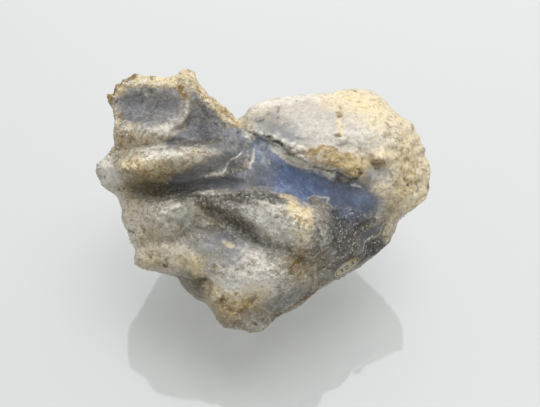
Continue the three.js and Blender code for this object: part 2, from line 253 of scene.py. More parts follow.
@dataclass(frozen=True)
class ShowingSide:
    """Axes of the sloping side, in mm."""

    centre: tuple[float, float, float] = (2.0, 0.0, 31.8)
    slope: float = math.radians(45)
    taper: float = 1 / 260

    @property
    def across(self) -> Array:
        """Direction of u."""
        return np.array([1.0, 0.0, 0.0])

    @property
    def uphill(self) -> Array:
        """Direction of v."""
        return np.array([0.0, math.sin(self.slope), math.cos(self.slope)])

    @property
    def outward(self) -> Array:
        """Direction of w."""
        return np.array([0.0, -math.cos(self.slope), math.sin(self.slope)])

    def place(self, u: Array, v: Array, w: Array) -> Array:
        """Points in X, Y and Z.

        Args:
            u: Places across the side.
            v: Places up the side.
            w: Heights out of the side.

        Returns:
            One row of X, Y and Z for each place, in mm.
        """
        narrowing = 1.0 - w * self.taper
        return (np.array(self.centre) + np.multiply.outer(u * narrowing, self.across)
                + np.multiply.outer(v * narrowing, self.uphill)
                + np.multiply.outer(w, self.outward))


SIDE = ShowingSide()
HUB = (-9.0, 3.0)


@dataclass(frozen=True)
class Plane:
    """A flat of the front: its depth w at (u, v), and how much it rises with u and with v."""

    u: float
    v: float
    w: float
    rise_u: float
    rise_v: float

    def depth(self, u: Array, v: Array) -> Array:
        """Depth of the flat at (u, v)."""
        return self.w + self.rise_u * (u - self.u) + self.rise_v * (v - self.v)


@dataclass(frozen=True)
class RolledMass:
    """A mass whose front falls away from its crest by `drop` at `above` or `below` mm."""

    above: float
    below: float
    drop: float
    crest: tuple[tuple[float, float, float], ...]

    def depth(self, u: Array, v: Array) -> Array:
        """Depth of the mass.

        Args:
            u: Places across the side.
            v: Places up the side.

        Returns:
            The depth w at each place.
        """
        run = curve_points(self.crest)
        nearest = np.full(u.shape, np.inf)
        depth = np.zeros(u.shape)
        for a, b in zip(run[:-1], run[1:]):
            share, gap, turn = from_stretch(u, v, a, b)
            side = turn / np.maximum(math.hypot(b[0] - a[0], b[1] - a[1]) * gap, 1e-9)
            distance = gap / (self.below + (self.above - self.below) * (1.0 + side) / 2)
            closer = distance < nearest
            nearest = np.where(closer, distance, nearest)
            depth = np.where(closer, a[2] + share * (b[2] - a[2]), depth)
        return depth - self.drop * nearest ** 2


@dataclass(frozen=True)
class Oval:
    """A turned ellipse on the showing side, with its half-widths in mm."""

    u: float
    v: float
    long: float
    short: float
    turn: float = 0.0

    def distance(self, u: Array, v: Array) -> Array:
        """Squared distance from the middle, 1 on the ellipse."""
        along, across = turned(u - self.u, v - self.v, self.turn)
        return (along / self.long) ** 2 + (across / self.short) ** 2


@dataclass(frozen=True)
class Knob:
    """A round mass: `top` is its depth and `drop` how far it falls at the oval."""

    oval: Oval
    top: float
    drop: float

    def depth(self, u: Array, v: Array) -> Array:
        """Depth of the knob at (u, v)."""
        return self.top - self.drop * self.oval.distance(u, v)


@dataclass(frozen=True)
class Hollow:
    """A rounded hollow as deep as `depth` in the middle of its oval."""

    oval: Oval
    depth: float
    roundness: float = 1.4

    def sink(self, u: Array, v: Array) -> Array:
        """How far the hollow sinks the front at (u, v)."""
        return self.depth * np.clip(1.0 - self.oval.distance(u, v), 0.0, 1.0) ** self.roundness


@dataclass(frozen=True)
class BrokenFace:
    """A broken face of a hidden side: a point on it and its outward direction."""

    at: tuple[float, float, float]
    out: tuple[float, float, float]
    worn: float = 1.0
    flat_from: float = 8.0

    def break_off(self, points: Array) -> Array:
        """Brings what stands outside the face back onto it, with a worn edge.

        Args:
            points: Places, in mm.

        Returns:
            The places moved.
        """
        out = unit(np.array(self.out))
        over = (points - np.array(self.at)) @ out
        rounded = self.worn * np.log1p(np.exp(np.clip(over / self.worn, None, self.flat_from)))
        back = np.where(over > self.flat_from * self.worn, over, rounded)
        return points - back[:, None] * out


LEFT_MASSES = (
    # upper ledge
    RolledMass(2.6, 4.5, 3.0, ((-41, 19.4, 12), (-34, 19.2, 13.6), (-28, 19, 13.6),
                               (-21, 16.6, 11.6))),
    # septum between the two hollows
    RolledMass(3.4, 1.0, 3.0, ((-28, 19.6, 13.4), (-24.8, 21.4, 13.6), (-23.0, 24.4, 12.8),
                               (-22.2, 28.6, 11.6), (-22.4, 32.5, 10.6))),
    # upper roll
    RolledMass(3.4, 4.2, 4.5, ((-38.6, 9.8, 18.2), (-33, 11, 19.4), (-25, 12.2, 19.4),
                               (-17, 13.0, 17.4), (-11, 13.6, 14.2))),
    RolledMass(7.0, 5.0, 3.5, ((-13, 14.2, 13.6), (-9, 16.2, 13.0), (-5.5, 18.4, 12.2))),
    # lower roll
    RolledMass(2.6, 9.0, 4.0, ((-22, 1.3, 13.5), (-17, 1.8, 15), (-10, 1.2, 16.5), (-3, 0, 19),
                               (3, -1.6, 21), (10, -4.5, 22.5))),
    # left mass
    RolledMass(5.5, 6.0, 3.0, ((-36, -14.5, 9), (-29, -13.2, 13.5), (-20, -14.5, 16.5))),
    # lower mass
    RolledMass(8.5, 8.0, 5.0, ((-17, -14.5, 15.5), (-8, -18.5, 19.8), (1, -19, 21.2))),
    # bottom knob
    RolledMass(7.0, 7.0, 4.5, ((-15.5, -24.2, 15.5), (-9, -23.8, 18.4), (0, -23, 18.6))),
    # round bump, and the swelling beside the lower roll
    Knob(Oval(-43.3, 9.0, 4.2, 4.8), 12.5, 4.0),
    Knob(Oval(-26.0, -3.4, 7.5, 5.5, 12), 16.6, 3.0),
)
RIGHT_MASSES = (
    # ridge along the crack
    RolledMass(1.8, 3.6, 1.9, ((-6, 20.6, 12.2), (0, 18.4, 12.4), (4, 16.4, 12.6),
                               (9.5, 13.2, 12.7))),
    # rusty nodule, and the small knob to its right
    Knob(Oval(16.9, 11.1, 8.0, 3.8, -21), 15.2, 2.8),
    Knob(Oval(29.8, 12.3, 2.4, 1.9), 12.0, 2.2),
)
UPPER_HOLLOWS = (
    Hollow(Oval(-33.6, 25.8, 9.3, 7.9, -8), 4.7),
    Hollow(Oval(-17.2, 20.4, 9.8, 7.6, -28), 4.0),
)
HOLLOWS = (
    Hollow(Oval(-7.0, -6.8, 9.0, 3.2, -30), 2.2),
    Hollow(Oval(-16.0, 4.9, 10.0, 2.6, 3), 2.2),
    Hollow(Oval(9.0, 6.0, 10.0, 5.5, -20), 1.6),
    Hollow(Oval(-30.0, 3.2, 11.0, 3.2, 2), 3.2),
    Hollow(Oval(-14.5, -8.6, 5.5, 3.0, -12), 1.2),
    Hollow(Oval(-8.0, 0.4, 6.0, 1.6, -8), 0.7),
)
BROKEN_FACES = (
    BrokenFace((-27, 22.5, 59.5), (-0.18, 0.94, 0.28), 0.35),
    BrokenFace((22, 31, 50.4), (0.12, 0.98, 0.14), 0.35),
    BrokenFace((-40, 4, 24), (-0.82, 0.32, -0.47), 2.5),
    BrokenFace((34, 10, 21), (0.65, 0.4, -0.64), 2.5),
    BrokenFace((-14, 30, 16), (-0.25, 0.8, -0.55)),
    BrokenFace((16, 28, 15), (0.3, 0.75, -0.6)),
    BrokenFace((-8, -22, 6), (-0.15, -0.6, -0.8), 1.5),
    BrokenFace((26, -6, 9), (0.5, -0.25, -0.83)),
    BrokenFace((-27, -4, 8), (-0.55, -0.15, -0.83)),
)
# Corners of the outline, anticlockwise from the notch beside the horn: u, v and the depth w
# at which the outline turns.
OUTLINE = (
    # sloping crust edge of the horn
    (-11.0, 24.8, 2), (-13.3, 26.8, 3), (-15.7, 28.6, 3), (-18.7, 31.7, 4), (-19.9, 33.6, 4),
    (-20.9, 36.1, 4), (-22.7, 36.5, 4),
    # top of the upper hollow
    (-25.2, 35.2, 4), (-27.2, 34.3, 4), (-29.5, 33.9, 4), (-32.9, 34.4, 4), (-36.6, 34.8, 4),
    (-39.9, 33.5, 4), (-41.9, 31.4, 5), (-42.4, 29.5, 5), (-44.0, 29.3, 5), (-43.9, 27.3, 6),
    (-42.6, 25.8, 7), (-41.9, 22.5, 8), (-42.2, 20.1, 8), (-42.4, 15.6, 8),
    # round bump on the left
    (-44.2, 13.3, 8), (-47.2, 10.6, 8), (-47.4, 8, 8), (-45.9, 5.3, 8), (-43.6, 3.4, 7),
    # left flank
    (-41.1, 1.8, 6), (-40.0, -1.2, 6), (-38.9, -5.3, 6), (-37.5, -9.5, 6), (-36.5, -12.7, 6),
    (-36.9, -14.4, 6), (-36.7, -16.6, 6), (-34.4, -18.0, 6), (-30.5, -18.3, 5),
    (-27.5, -19.2, 4), (-24.7, -20.2, 2),
    # recess beside the bottom knob
    (-22.4, -23.2, 1), (-19.7, -25.3, 2), (-16.9, -26.7, 4), (-15.4, -29.0, 7),
    # front tip
    (-14.2, -32.0, 9), (-12.6, -34.2, 11), (-10, -34.2, 12), (-7.6, -34.8, 12), (-5, -35.3, 12),
    (-1.5, -34.3, 11), (-0.4, -32.5, 11), (1.6, -30.9, 10),
    # long lower right edge
    (4.4, -29.1, 9), (9.3, -26.6, 8), (12.9, -23.4, 6), (18.9, -19.9, 4), (24.3, -16.4, 2),
    (28.6, -13.6, 1), (32.5, -10.5, 0), (33.7, -7.7, 0), (34.6, -4.7, 0), (36.4, -2.9, 1),
    # pale lobe, right side
    (39.8, -1.0, 1.5), (42.4, 1.2, 2), (43.3, 4.3, 2), (43.0, 6.4, 2), (43.4, 8.0, 2),
    (43.3, 11.2, 1), (42.3, 13.2, 0), (42.2, 15.0, 0), (40.6, 17.7, -1), (39.2, 19.4, -2),
    (38.8, 21.2, -2), (37.7, 22.9, -3), (35.2, 23.9, -4),
    # pale lobe, top
    (33.2, 25.9, -5), (30.6, 28.1, -6), (27.6, 30.1, -7), (23.6, 31.0, -8), (19.4, 30.6, -8),
    (16.0, 29.6, -7), (11.7, 29.4, -7), (5.3, 29.1, -7), (2.2, 28.5, -6), (-0.6, 27.8, -5),
    (-3.5, 26.8, -4), (-5.6, 25.7, -3), (-6.3, 24.4, -2), (-7.6, 23.5, -1), (-9.1, 22.8, 1),
)


@dataclass(frozen=True)
class Streak:
    """A line through corners (u, v) on the showing side, with its half-width in mm."""

    path: tuple[tuple[float, float], ...]
    half_width: float

    def nearest(self, u: Array, v: Array) -> tuple[Array, Array]:
        """How places lie to the line.

        Args:
            u: Places across the side.
            v: Places up the side.

        Returns:
            Distances from the line in mm, and +1 on its left or -1 on its right.
        """
        best = np.full(u.shape, np.inf)
        hand = np.ones(u.shape)
        for a, b in zip(self.path[:-1], self.path[1:]):
            _, gap, turn = from_stretch(u, v, a, b)
            closer = gap < best
            hand = np.where(closer, np.sign(turn), hand)
            best = np.where(closer, gap, best)
        return best, hand

    def distance(self, u: Array, v: Array) -> Array:
        """Squared distance from the line, 1 at the half-width."""
        return (self.nearest(u, v)[0] / self.half_width) ** 2


@dataclass(frozen=True)
class Region:
    """An area of the showing side inside a closed run of corners (u, v)."""

    corners: tuple[tuple[float, float], ...]
    soft: float = 0.8
    strength: float = 1.0

    def cover(self, u: Array, v: Array) -> Array:
        """Strength of the region, soft across its border.

        Args:
            u: Places across the side.
            v: Places up the side.

        Returns:
            The strength at each place.
        """
        loop = (*self.corners, self.corners[0])
        gap, _ = Streak(loop, 1.0).nearest(u, v)
        inside = np.zeros(u.shape, bool)
        for a, b in zip(loop[:-1], loop[1:]):
            if a[1] != b[1]:
                between = (a[1] > v) != (b[1] > v)
                cross = a[0] + (v - a[1]) * (b[0] - a[0]) / (b[1] - a[1])
                inside ^= between & (u < cross)
        depth = np.where(inside, gap, -gap)
        return self.strength * smooth_step(depth, -self.soft, self.soft)


@dataclass(frozen=True)
class Patch:
    """A soft-edged patch of a tint, or of relief, on the showing side."""

    shape: Oval | Streak
    strength: float = 1.0
    soft: float = 0.4

    def cover(self, u: Array, v: Array) -> Array:
        """Strength of the patch at (u, v)."""
        distance = np.sqrt(self.shape.distance(u, v))
        return self.strength * smooth_step(distance, 1.0 + self.soft, 1.0 - self.soft)


@dataclass(frozen=True)
class Ledge:
    """A small step: the side right of the path lies lower, and the step dies out away from it."""

    path: tuple[tuple[float, float], ...]
    drop: float
    reach: float
    lip: tuple[float, float] = (-0.15, 0.25)
    level: float = 0.3

    def sink(self, u: Array, v: Array) -> Array:
        """How far the ledge sinks the front at (u, v)."""
        gap, hand = Streak(self.path, 1.0).nearest(u, v)
        return self.drop * smooth_step(gap * -hand, *self.lip) * smooth_step(
            gap, self.reach, self.level * self.reach)


class Tint(Enum):
    """Tints and textures that lie over the grey stone, by the name of their mesh layer. The
    ash-grey and dark tints are partly painted shade, and some pale and cream patches are painted
    light.
    """

    LOBE = "lobe"
    TAN = "tan"
    AGATE = "agate"
    ASH_AND_SHADE = "ash"
    MOSS = "moss"
    BLUE = "blue"
    PALE = "pale"
    CREAM = "cream"
    DARK = "dark"
    RUST = "rust"
    GRIT = "grit"


def spots(soft: float, *rows: tuple[float, ...]) -> tuple[Patch, ...]:
    """Patches from rows of u, v, long, short, turn and strength."""
    return tuple(Patch(Oval(u, v, long, short, turn), strength, soft)
                 for u, v, long, short, turn, strength in rows)


def streaks(*rows: tuple[tuple[tuple[float, float], ...], float, float]) -> tuple[Patch, ...]:
    """Patches from rows of a path, its half-width and its strength."""
    return tuple(Patch(Streak(path, half_width), strength) for path, half_width, strength in rows)


TAN_PATCHES = (
    *spots(
        0.9,
        # horn
        (-38, 16, 3, 3, 0, 0.4), (-22.6, 31.4, 3, 3.4, 0, 0.6), (-24, 30, 4, 4, 0, 0.5),
        # upper roll
        (-30, 9.2, 6, 1.9, -3, 0.9), (-22, 11, 6, 1.5, 4, 0.4), (-33, 4.6, 5.6, 2.6, 0, 0.8),
        (-33, 7, 4, 2, 0, 0.4), (-36.5, 5.6, 7, 4, 0, 0.6),
        # round bump and left flank
        (-34.6, -6, 5, 8, 0, 0.64), (-33.5, -15.8, 3.6, 2.2, -5, 0.7), (-39.5, -3, 1.8, 7, 0, 0.5),
        (-41, 14, 1.6, 3, 0, 0.3), (-38.4, -7, 2.6, 5, 0, 0.4),
        # left mass
        (-31, -9, 4, 3, 0, 0.4), (-25, -9.4, 4.4, 3, 0, 0.45), (-27.5, -15.6, 4, 2, 0, 0.5),
        (-21, -17, 3, 3, 0, 0.4),
        # lower mass and bottom knob
        (-8.6, -26, 5.6, 3.2, 5, 1), (-15.5, -13.3, 3.5, 1.6, 0, 0.4), (5, -21.5, 4, 1.6, 10, 0.5),
        (-6, -30, 8, 3, 5, 0.6), (-20, -23, 3.5, 3, 0, 0.6), (-17.6, -20.4, 4, 2, -20, 0.5),
        (-16.4, -27, 3, 3, -20, 0.6), (-6, -24.6, 6, 1.6, 5, 0.4), (4.6, -19.4, 5, 2.4, -30, 0.4),
        (-14, -29.4, 3.4, 3, 0, 0.6), (7.4, -20.4, 4, 3, -35, 0.5),
        # crack, ridge and nodule
        (-5.2, 23.6, 2.2, 4.2, -50, 0.85), (-1.6, 26.6, 3, 1.4, 25, 0.5),
        (-2, 22.6, 2.6, 1.4, -20, 0.5),
        # dark face
        (31, -4, 2.6, 3, 0, 0.5), (9, -18.5, 5, 3.4, -30, 0.8), (14, -14.5, 4, 1.6, -20, 0.5),
        (12, -19.4, 6, 3, -35, 0.5), (10, -16, 5, 5, -30, 0.35),
        # lobe
        (39, 8, 6, 9, 0, 0.55), (36, 15, 4, 3, -20, 0.5), (34.5, -3, 3.5, 6, -30, 0.6),
        (36.4, 8.4, 1.6, 4.4, -6, 1), (39.4, 9.6, 1, 3, 0, 0.6), (38.4, 5, 3.4, 4, 0, 0.5),
        (38.4, 12.6, 3.4, 7, 0, 0.66), (33, 18, 4, 3, 0, 0.3), (22, 22.6, 3.4, 3, 0, 0.2),
        (36, 10, 6, 8, 0, 0.45), (41, 12, 2, 3, 0, 0.6), (32, 17.6, 4, 1.4, -20, 0.4),
        (31.5, 3, 3, 2.6, 0, 0.5),
    ),
    *streaks(
        (((5, -28.8), (9, -26.8), (10.6, -25.4)), 0.6, 0.8),
        (((-41, 4), (-39.6, -2), (-38, -8), (-36.2, -14)), 0.9, 0.6),
        (((28.6, -5), (25, -6.4), (22, -8.2)), 0.35, 0.7),
    ),
    *spots(
        0.25,
        (17.6, 11.2, 7.2, 3.5, -21, 1), (11.6, 13.2, 3, 1.6, -10, 0.8), (14, 14, 4, 1.6, -14, 0.6),
        (23, 8.2, 3, 2, -20, 0.5),
    ),
    *spots(0.6, (26, 9.4, 2.2, 3.4, 25, 0.85), (27.6, 5.4, 1.6, 1.6, 0, 0.5)),
)
AGATE_PATCHES = (
    # upper hollow and the thin rim round it
    Region(((-41.6, 27.6), (-40.6, 29.6), (-38.4, 31), (-36, 31.6), (-33.5, 31.2), (-30, 31.2),
            (-27.4, 31.4), (-24.8, 30.4), (-23.6, 28), (-24.6, 25.6), (-26.8, 23.4), (-29, 22),
            (-31, 21.3), (-33.5, 21.1), (-37, 21.7), (-39.5, 22.9), (-41.2, 25.4)), 0.6, 0.84),
    # second hollow, down to the roll
    Region(((-21.4, 27.5), (-21, 31), (-19.6, 31), (-18.6, 28), (-17, 26), (-14.5, 24.5),
            (-12.5, 22), (-9.5, 20.3), (-7.2, 20), (-6.2, 17.5), (-7, 14.5), (-9, 13.2),
            (-12, 13.2), (-14.6, 14.4), (-17, 15.9), (-22, 15.9), (-27, 14.6), (-30, 15.5),
            (-27.5, 17), (-24.4, 18.4), (-22.8, 21), (-21.6, 24)), 0.6, 0.86),
    # right part of the upper roll
    Region(((-27, 8.5), (-24, 7.2), (-22, 9.5), (-17, 11.8), (-12, 14.2), (-9, 14.6), (-6, 14.6),
            (-5.8, 11.4), (-8.5, 9.4), (-12, 9), (-15, 8.2), (-19, 7), (-22, 5.8), (-27, 5.6)),
           1, 0.75),
    # groove band
    Region(((-27, 7.4), (-20, 7.2), (-15, 7.4), (-10, 8.5), (-5, 9), (0, 4.2), (-4, 3.6),
            (-10, 3.2), (-16, 3.4), (-22, 3), (-27, 3.6)), 0.8, 0.95),
    # band along the lower right edge
    Region(((1, -24.5), (6, -22), (11, -20.4), (16, -18), (18, -18.5), (13, -22.5), (8, -26),
            (3, -28.6), (-3, -28.5), (-2, -26.5)), 1, 0.4),
    # smooth tongue at the right
    Region(((30.8, -5.6), (29.2, -5.5), (27.2, -6.3), (23.8, -8), (20.6, -10.2), (18.4, -12),
            (21.6, -11.6), (24.8, -10.4), (28, -9), (30.2, -7.4)), 0.5, 0.9),
    *spots(
        0.9,
        # horn
        (-30, 16, 6.5, 1.3, 8, 0.7), (-22.6, 30, 2.2, 3, 0, 0.5),
        (-24.6, 25.4, 2.6, 4.4, -16, 0.65), (-26.6, 22.2, 3, 1.4, 30, 0.3),
        # lower roll
        (-13.4, -10, 6, 3.2, -14, 0.65), (-4.5, -1.5, 2.6, 1.5, 0, 0.5),
        (-8.5, 0.6, 3, 1.2, 0, 0.5),
        # left mass
        (-22, -9, 4, 2, 0, 0.3), (-20.4, -12.4, 3, 1.8, 0, 0.45),
        # lower mass and bottom knob
        (-12.4, -16, 4.6, 2.2, 0, 0.4), (-17, -14.6, 3, 2, 0, 0.3), (-9, -13, 2.4, 3, 0, 0.45),
        (-6, -29.6, 4, 1.4, 0, 0.2), (-2.2, -12.6, 5.5, 3, -25, 0.6), (-9, -31.6, 6, 2.2, 8, 0.2),
        (-2, -28.4, 3.6, 1.6, 25, 0.35),
        # crack, ridge and nodule
        (3.4, 19.8, 6, 3, -14, 0.75), (0, 22, 5, 2.6, -5, 0.5), (9.4, 17.6, 3, 1.4, -25, 0.25),
        (13, 13, 1.8, 1, 0, 0.5), (2.4, 18.8, 4, 2, -20, 0.4), (1.8, 20.6, 6, 1.7, -25, 0.5),
        (10, 25, 8, 3, 0, 0.08),
        # lobe
        (22, 17.2, 3, 1.5, 0, 0.4), (29, 8.2, 3, 2, 0, 0.7),
    ),
)
# Ash-grey: partly the stone's own dark grey, partly painted shade under the two rolls, in the
# grooves beside them and in the second hollow.
ASH_AND_SHADE_PATCHES = (
    # under the lower roll: partly the stone's dark grey, partly painted shade
    Region(((-19.6, 0.8), (-17, 0.6), (-13, 0), (-9, -0.6), (-7, -3), (-5.4, -5.6), (-3, -8.4),
            (1, -10.6), (5, -11.4), (6.4, -12.8), (4, -13.4), (1, -13.4), (-2, -12.5), (-6, -10.4),
            (-9, -8.6), (-12.5, -6.2), (-15.5, -4.4), (-18, -2.6)), 1.4, 0.7),
    # under the upper roll: partly the stone's dark grey, partly painted shade
    Region(((-38.5, 7.5), (-35.5, 6.2), (-31, 5.6), (-27, 5.8), (-22.4, 4.6), (-21.8, 3),
            (-24, 1.8), (-27.6, 1.2), (-31, 1), (-34, 1.6), (-37, 3), (-39.5, 5)), 1.4, 0.72),
    # speckled crest of the lower roll
    Region(((-9.5, 2.6), (-6.5, 3.2), (-3, 3.8), (0, 3.6), (2.8, 2.2), (5.6, 0.9), (3, 0.2),
            (-1, 0.6), (-5, 1), (-8.6, 1.4)), 0.6, 0.9),
    *streaks(
        (((-41.5, 12.4), (-33, 14.8), (-24, 16), (-15, 16)), 1.2, 0.8),
    ),
    *spots(
        0.9,
        # horn
        (-34, 23.4, 5, 1.6, 0, 0.2), (-15, 19, 6.4, 3.8, -24, 0.65), (-30, 18, 4, 1, 0, 0.25),
        (-34.6, 23.6, 7.4, 3, 0, 0.85), (-17, 17.4, 5, 1.6, -10, 0.3), (-11, 16, 6, 2.6, -25, 0.4),
        (-12, 23, 5, 1.4, -40, 0.2),
        # upper roll
        (-20, 8.4, 7, 1.2, 5, 0.45), (-17, 5, 9, 1.6, 3, 0.6), (-11, 9, 4, 1.4, 25, 0.5),
        (-18, 13.6, 4, 1.4, 10, 0.3), (-8, 10.6, 4, 3, 0, 0.3),
        # round bump and left flank
        (-41, 12.2, 2.4, 1.4, 0, 0.4),
        # lower roll
        (-8, 0.4, 4, 1.8, -10, 0.5), (-8, -8.8, 4, 2, -25, 0.5), (-14, 1.6, 6, 1.5, 0, 0.6),
        (-4, 2.8, 5, 1.5, 8, 0.8), (3.4, 1.2, 5, 1.3, -20, 0.6), (-19, -8.6, 3, 2.2, 0, 0.5),
        (-10.8, -11.2, 3, 1.5, -20, 0.35), (10.6, -9.6, 3.2, 2.8, -20, 0.95),
        # left mass
        (-27.5, -10.5, 4, 1.6, 0, 0.4), (-20.4, -5.6, 2.6, 2.8, 0, 0.5),
        (-24, 1.4, 8, 1.3, 3, 0.75), (-22, -10, 5, 1.3, 0, 0.4),
        # lower mass and bottom knob
        (-20.5, -23.3, 4.5, 2.8, -30, 0.8), (-6, -32, 5.5, 2, 0, 0.5), (-3, -30.6, 4, 2, 0, 0.5),
        (-3.4, -14, 5, 1.5, -10, 0.7), (4, -22, 2.4, 6, -25, 0.6),
        # crack, ridge and nodule
        (6, 22.4, 8, 2.4, -8, 0.2), (2.8, 21.6, 5.4, 2, -22, 0.5),
        # blue break
        (27, 8, 2, 3, -30, 0.3),
        # dark face
        (21.5, 1.2, 6, 4.6, -20, 0.62), (20, -5.4, 6.4, 5, -20, 0.9), (25.6, -10, 4, 2.4, 35, 0.5),
        (12, -18.6, 6, 3, -35, 0.65),
        # lobe
        (42, 12, 1.6, 3, 0, 0.3),
    ),
)
MOSS_PATCHES = spots(
    0.8,
    # round bump and left flank
    (-43.2, 7.8, 2.2, 3.4, 0, 0.25), (-33, -11, 3, 2, 0, 0.25),
    # lower roll
    (8.4, -11, 1.8, 2.6, -15, 0.5),
    # left mass
    (-23.8, -3.6, 4.6, 3.8, 12, 0.95), (-20.6, -12.6, 3.4, 2, 0, 0.35),
    # lower mass and bottom knob
    (-15, -12.8, 3.5, 1.5, 0, 0.3), (-24, -21.4, 4, 1.6, -25, 0.6),
    (-20, -23.6, 3.4, 2.2, -30, 0.6),
    # crack, ridge and nodule
    (-4.4, 23.4, 2.4, 1.6, -30, 0.25), (2, 17.2, 4, 1, -38, 0.4),
)
BLUE_PATCHES = (
    # bright part of the break
    Region(((2.2, 9.6), (4.4, 11.4), (7, 10.4), (9.6, 9.2), (12, 8.8), (16.4, 8), (16.6, 4),
            (15.6, 1), (13.6, 1.6), (11, 1.4), (9.4, 0.3), (7, 1.4), (4.6, 2.4), (2.6, 3.6),
            (1.6, 5.4), (1.4, 7.4)), 1.4, 1),
    # deeper part, towards the lobe
    Region(((15.6, 7.6), (20, 6), (24, 4.6), (27.4, 3.2), (28.6, 0), (26.5, -4), (22, -5.4),
            (18, -2.6), (16.2, -1.4), (15.4, 1)), 2.4, 0.5),
    *spots(
        0.9,
        # horn
        (-34.8, 25, 6, 3.4, 0, 0.2), (-17, 19, 6, 2, -10, 0.1),
        # upper roll
        (-13, 5.2, 7, 1.2, 6, 0.15),
        # lower roll
        (6.2, 2.8, 2.6, 1, -20, 0.8), (-13, -10, 5.6, 2.8, -12, 0.18),
        (-4.4, -1.6, 3, 1.6, -10, 0.32),
        # lower mass and bottom knob
        (-8.5, -15, 3, 2.4, -20, 0.15),
        # crack, ridge and nodule
        (-2.6, 12.6, 3, 3.6, 0, 0.5), (1.5, 11.4, 3.4, 2, -30, 0.6), (-3, 16, 5, 1.6, -25, 0.35),
        # blue break
        (0.4, 8, 4, 3.2, 0, 0.3),
        # dark face
        (27, -8.4, 4, 2, 20, 0.12),
        # lobe
        (29, 8.2, 2.6, 1.6, 0, 0.35), (24, 16.6, 1.6, 1, 0, 0.25),
    ),
)
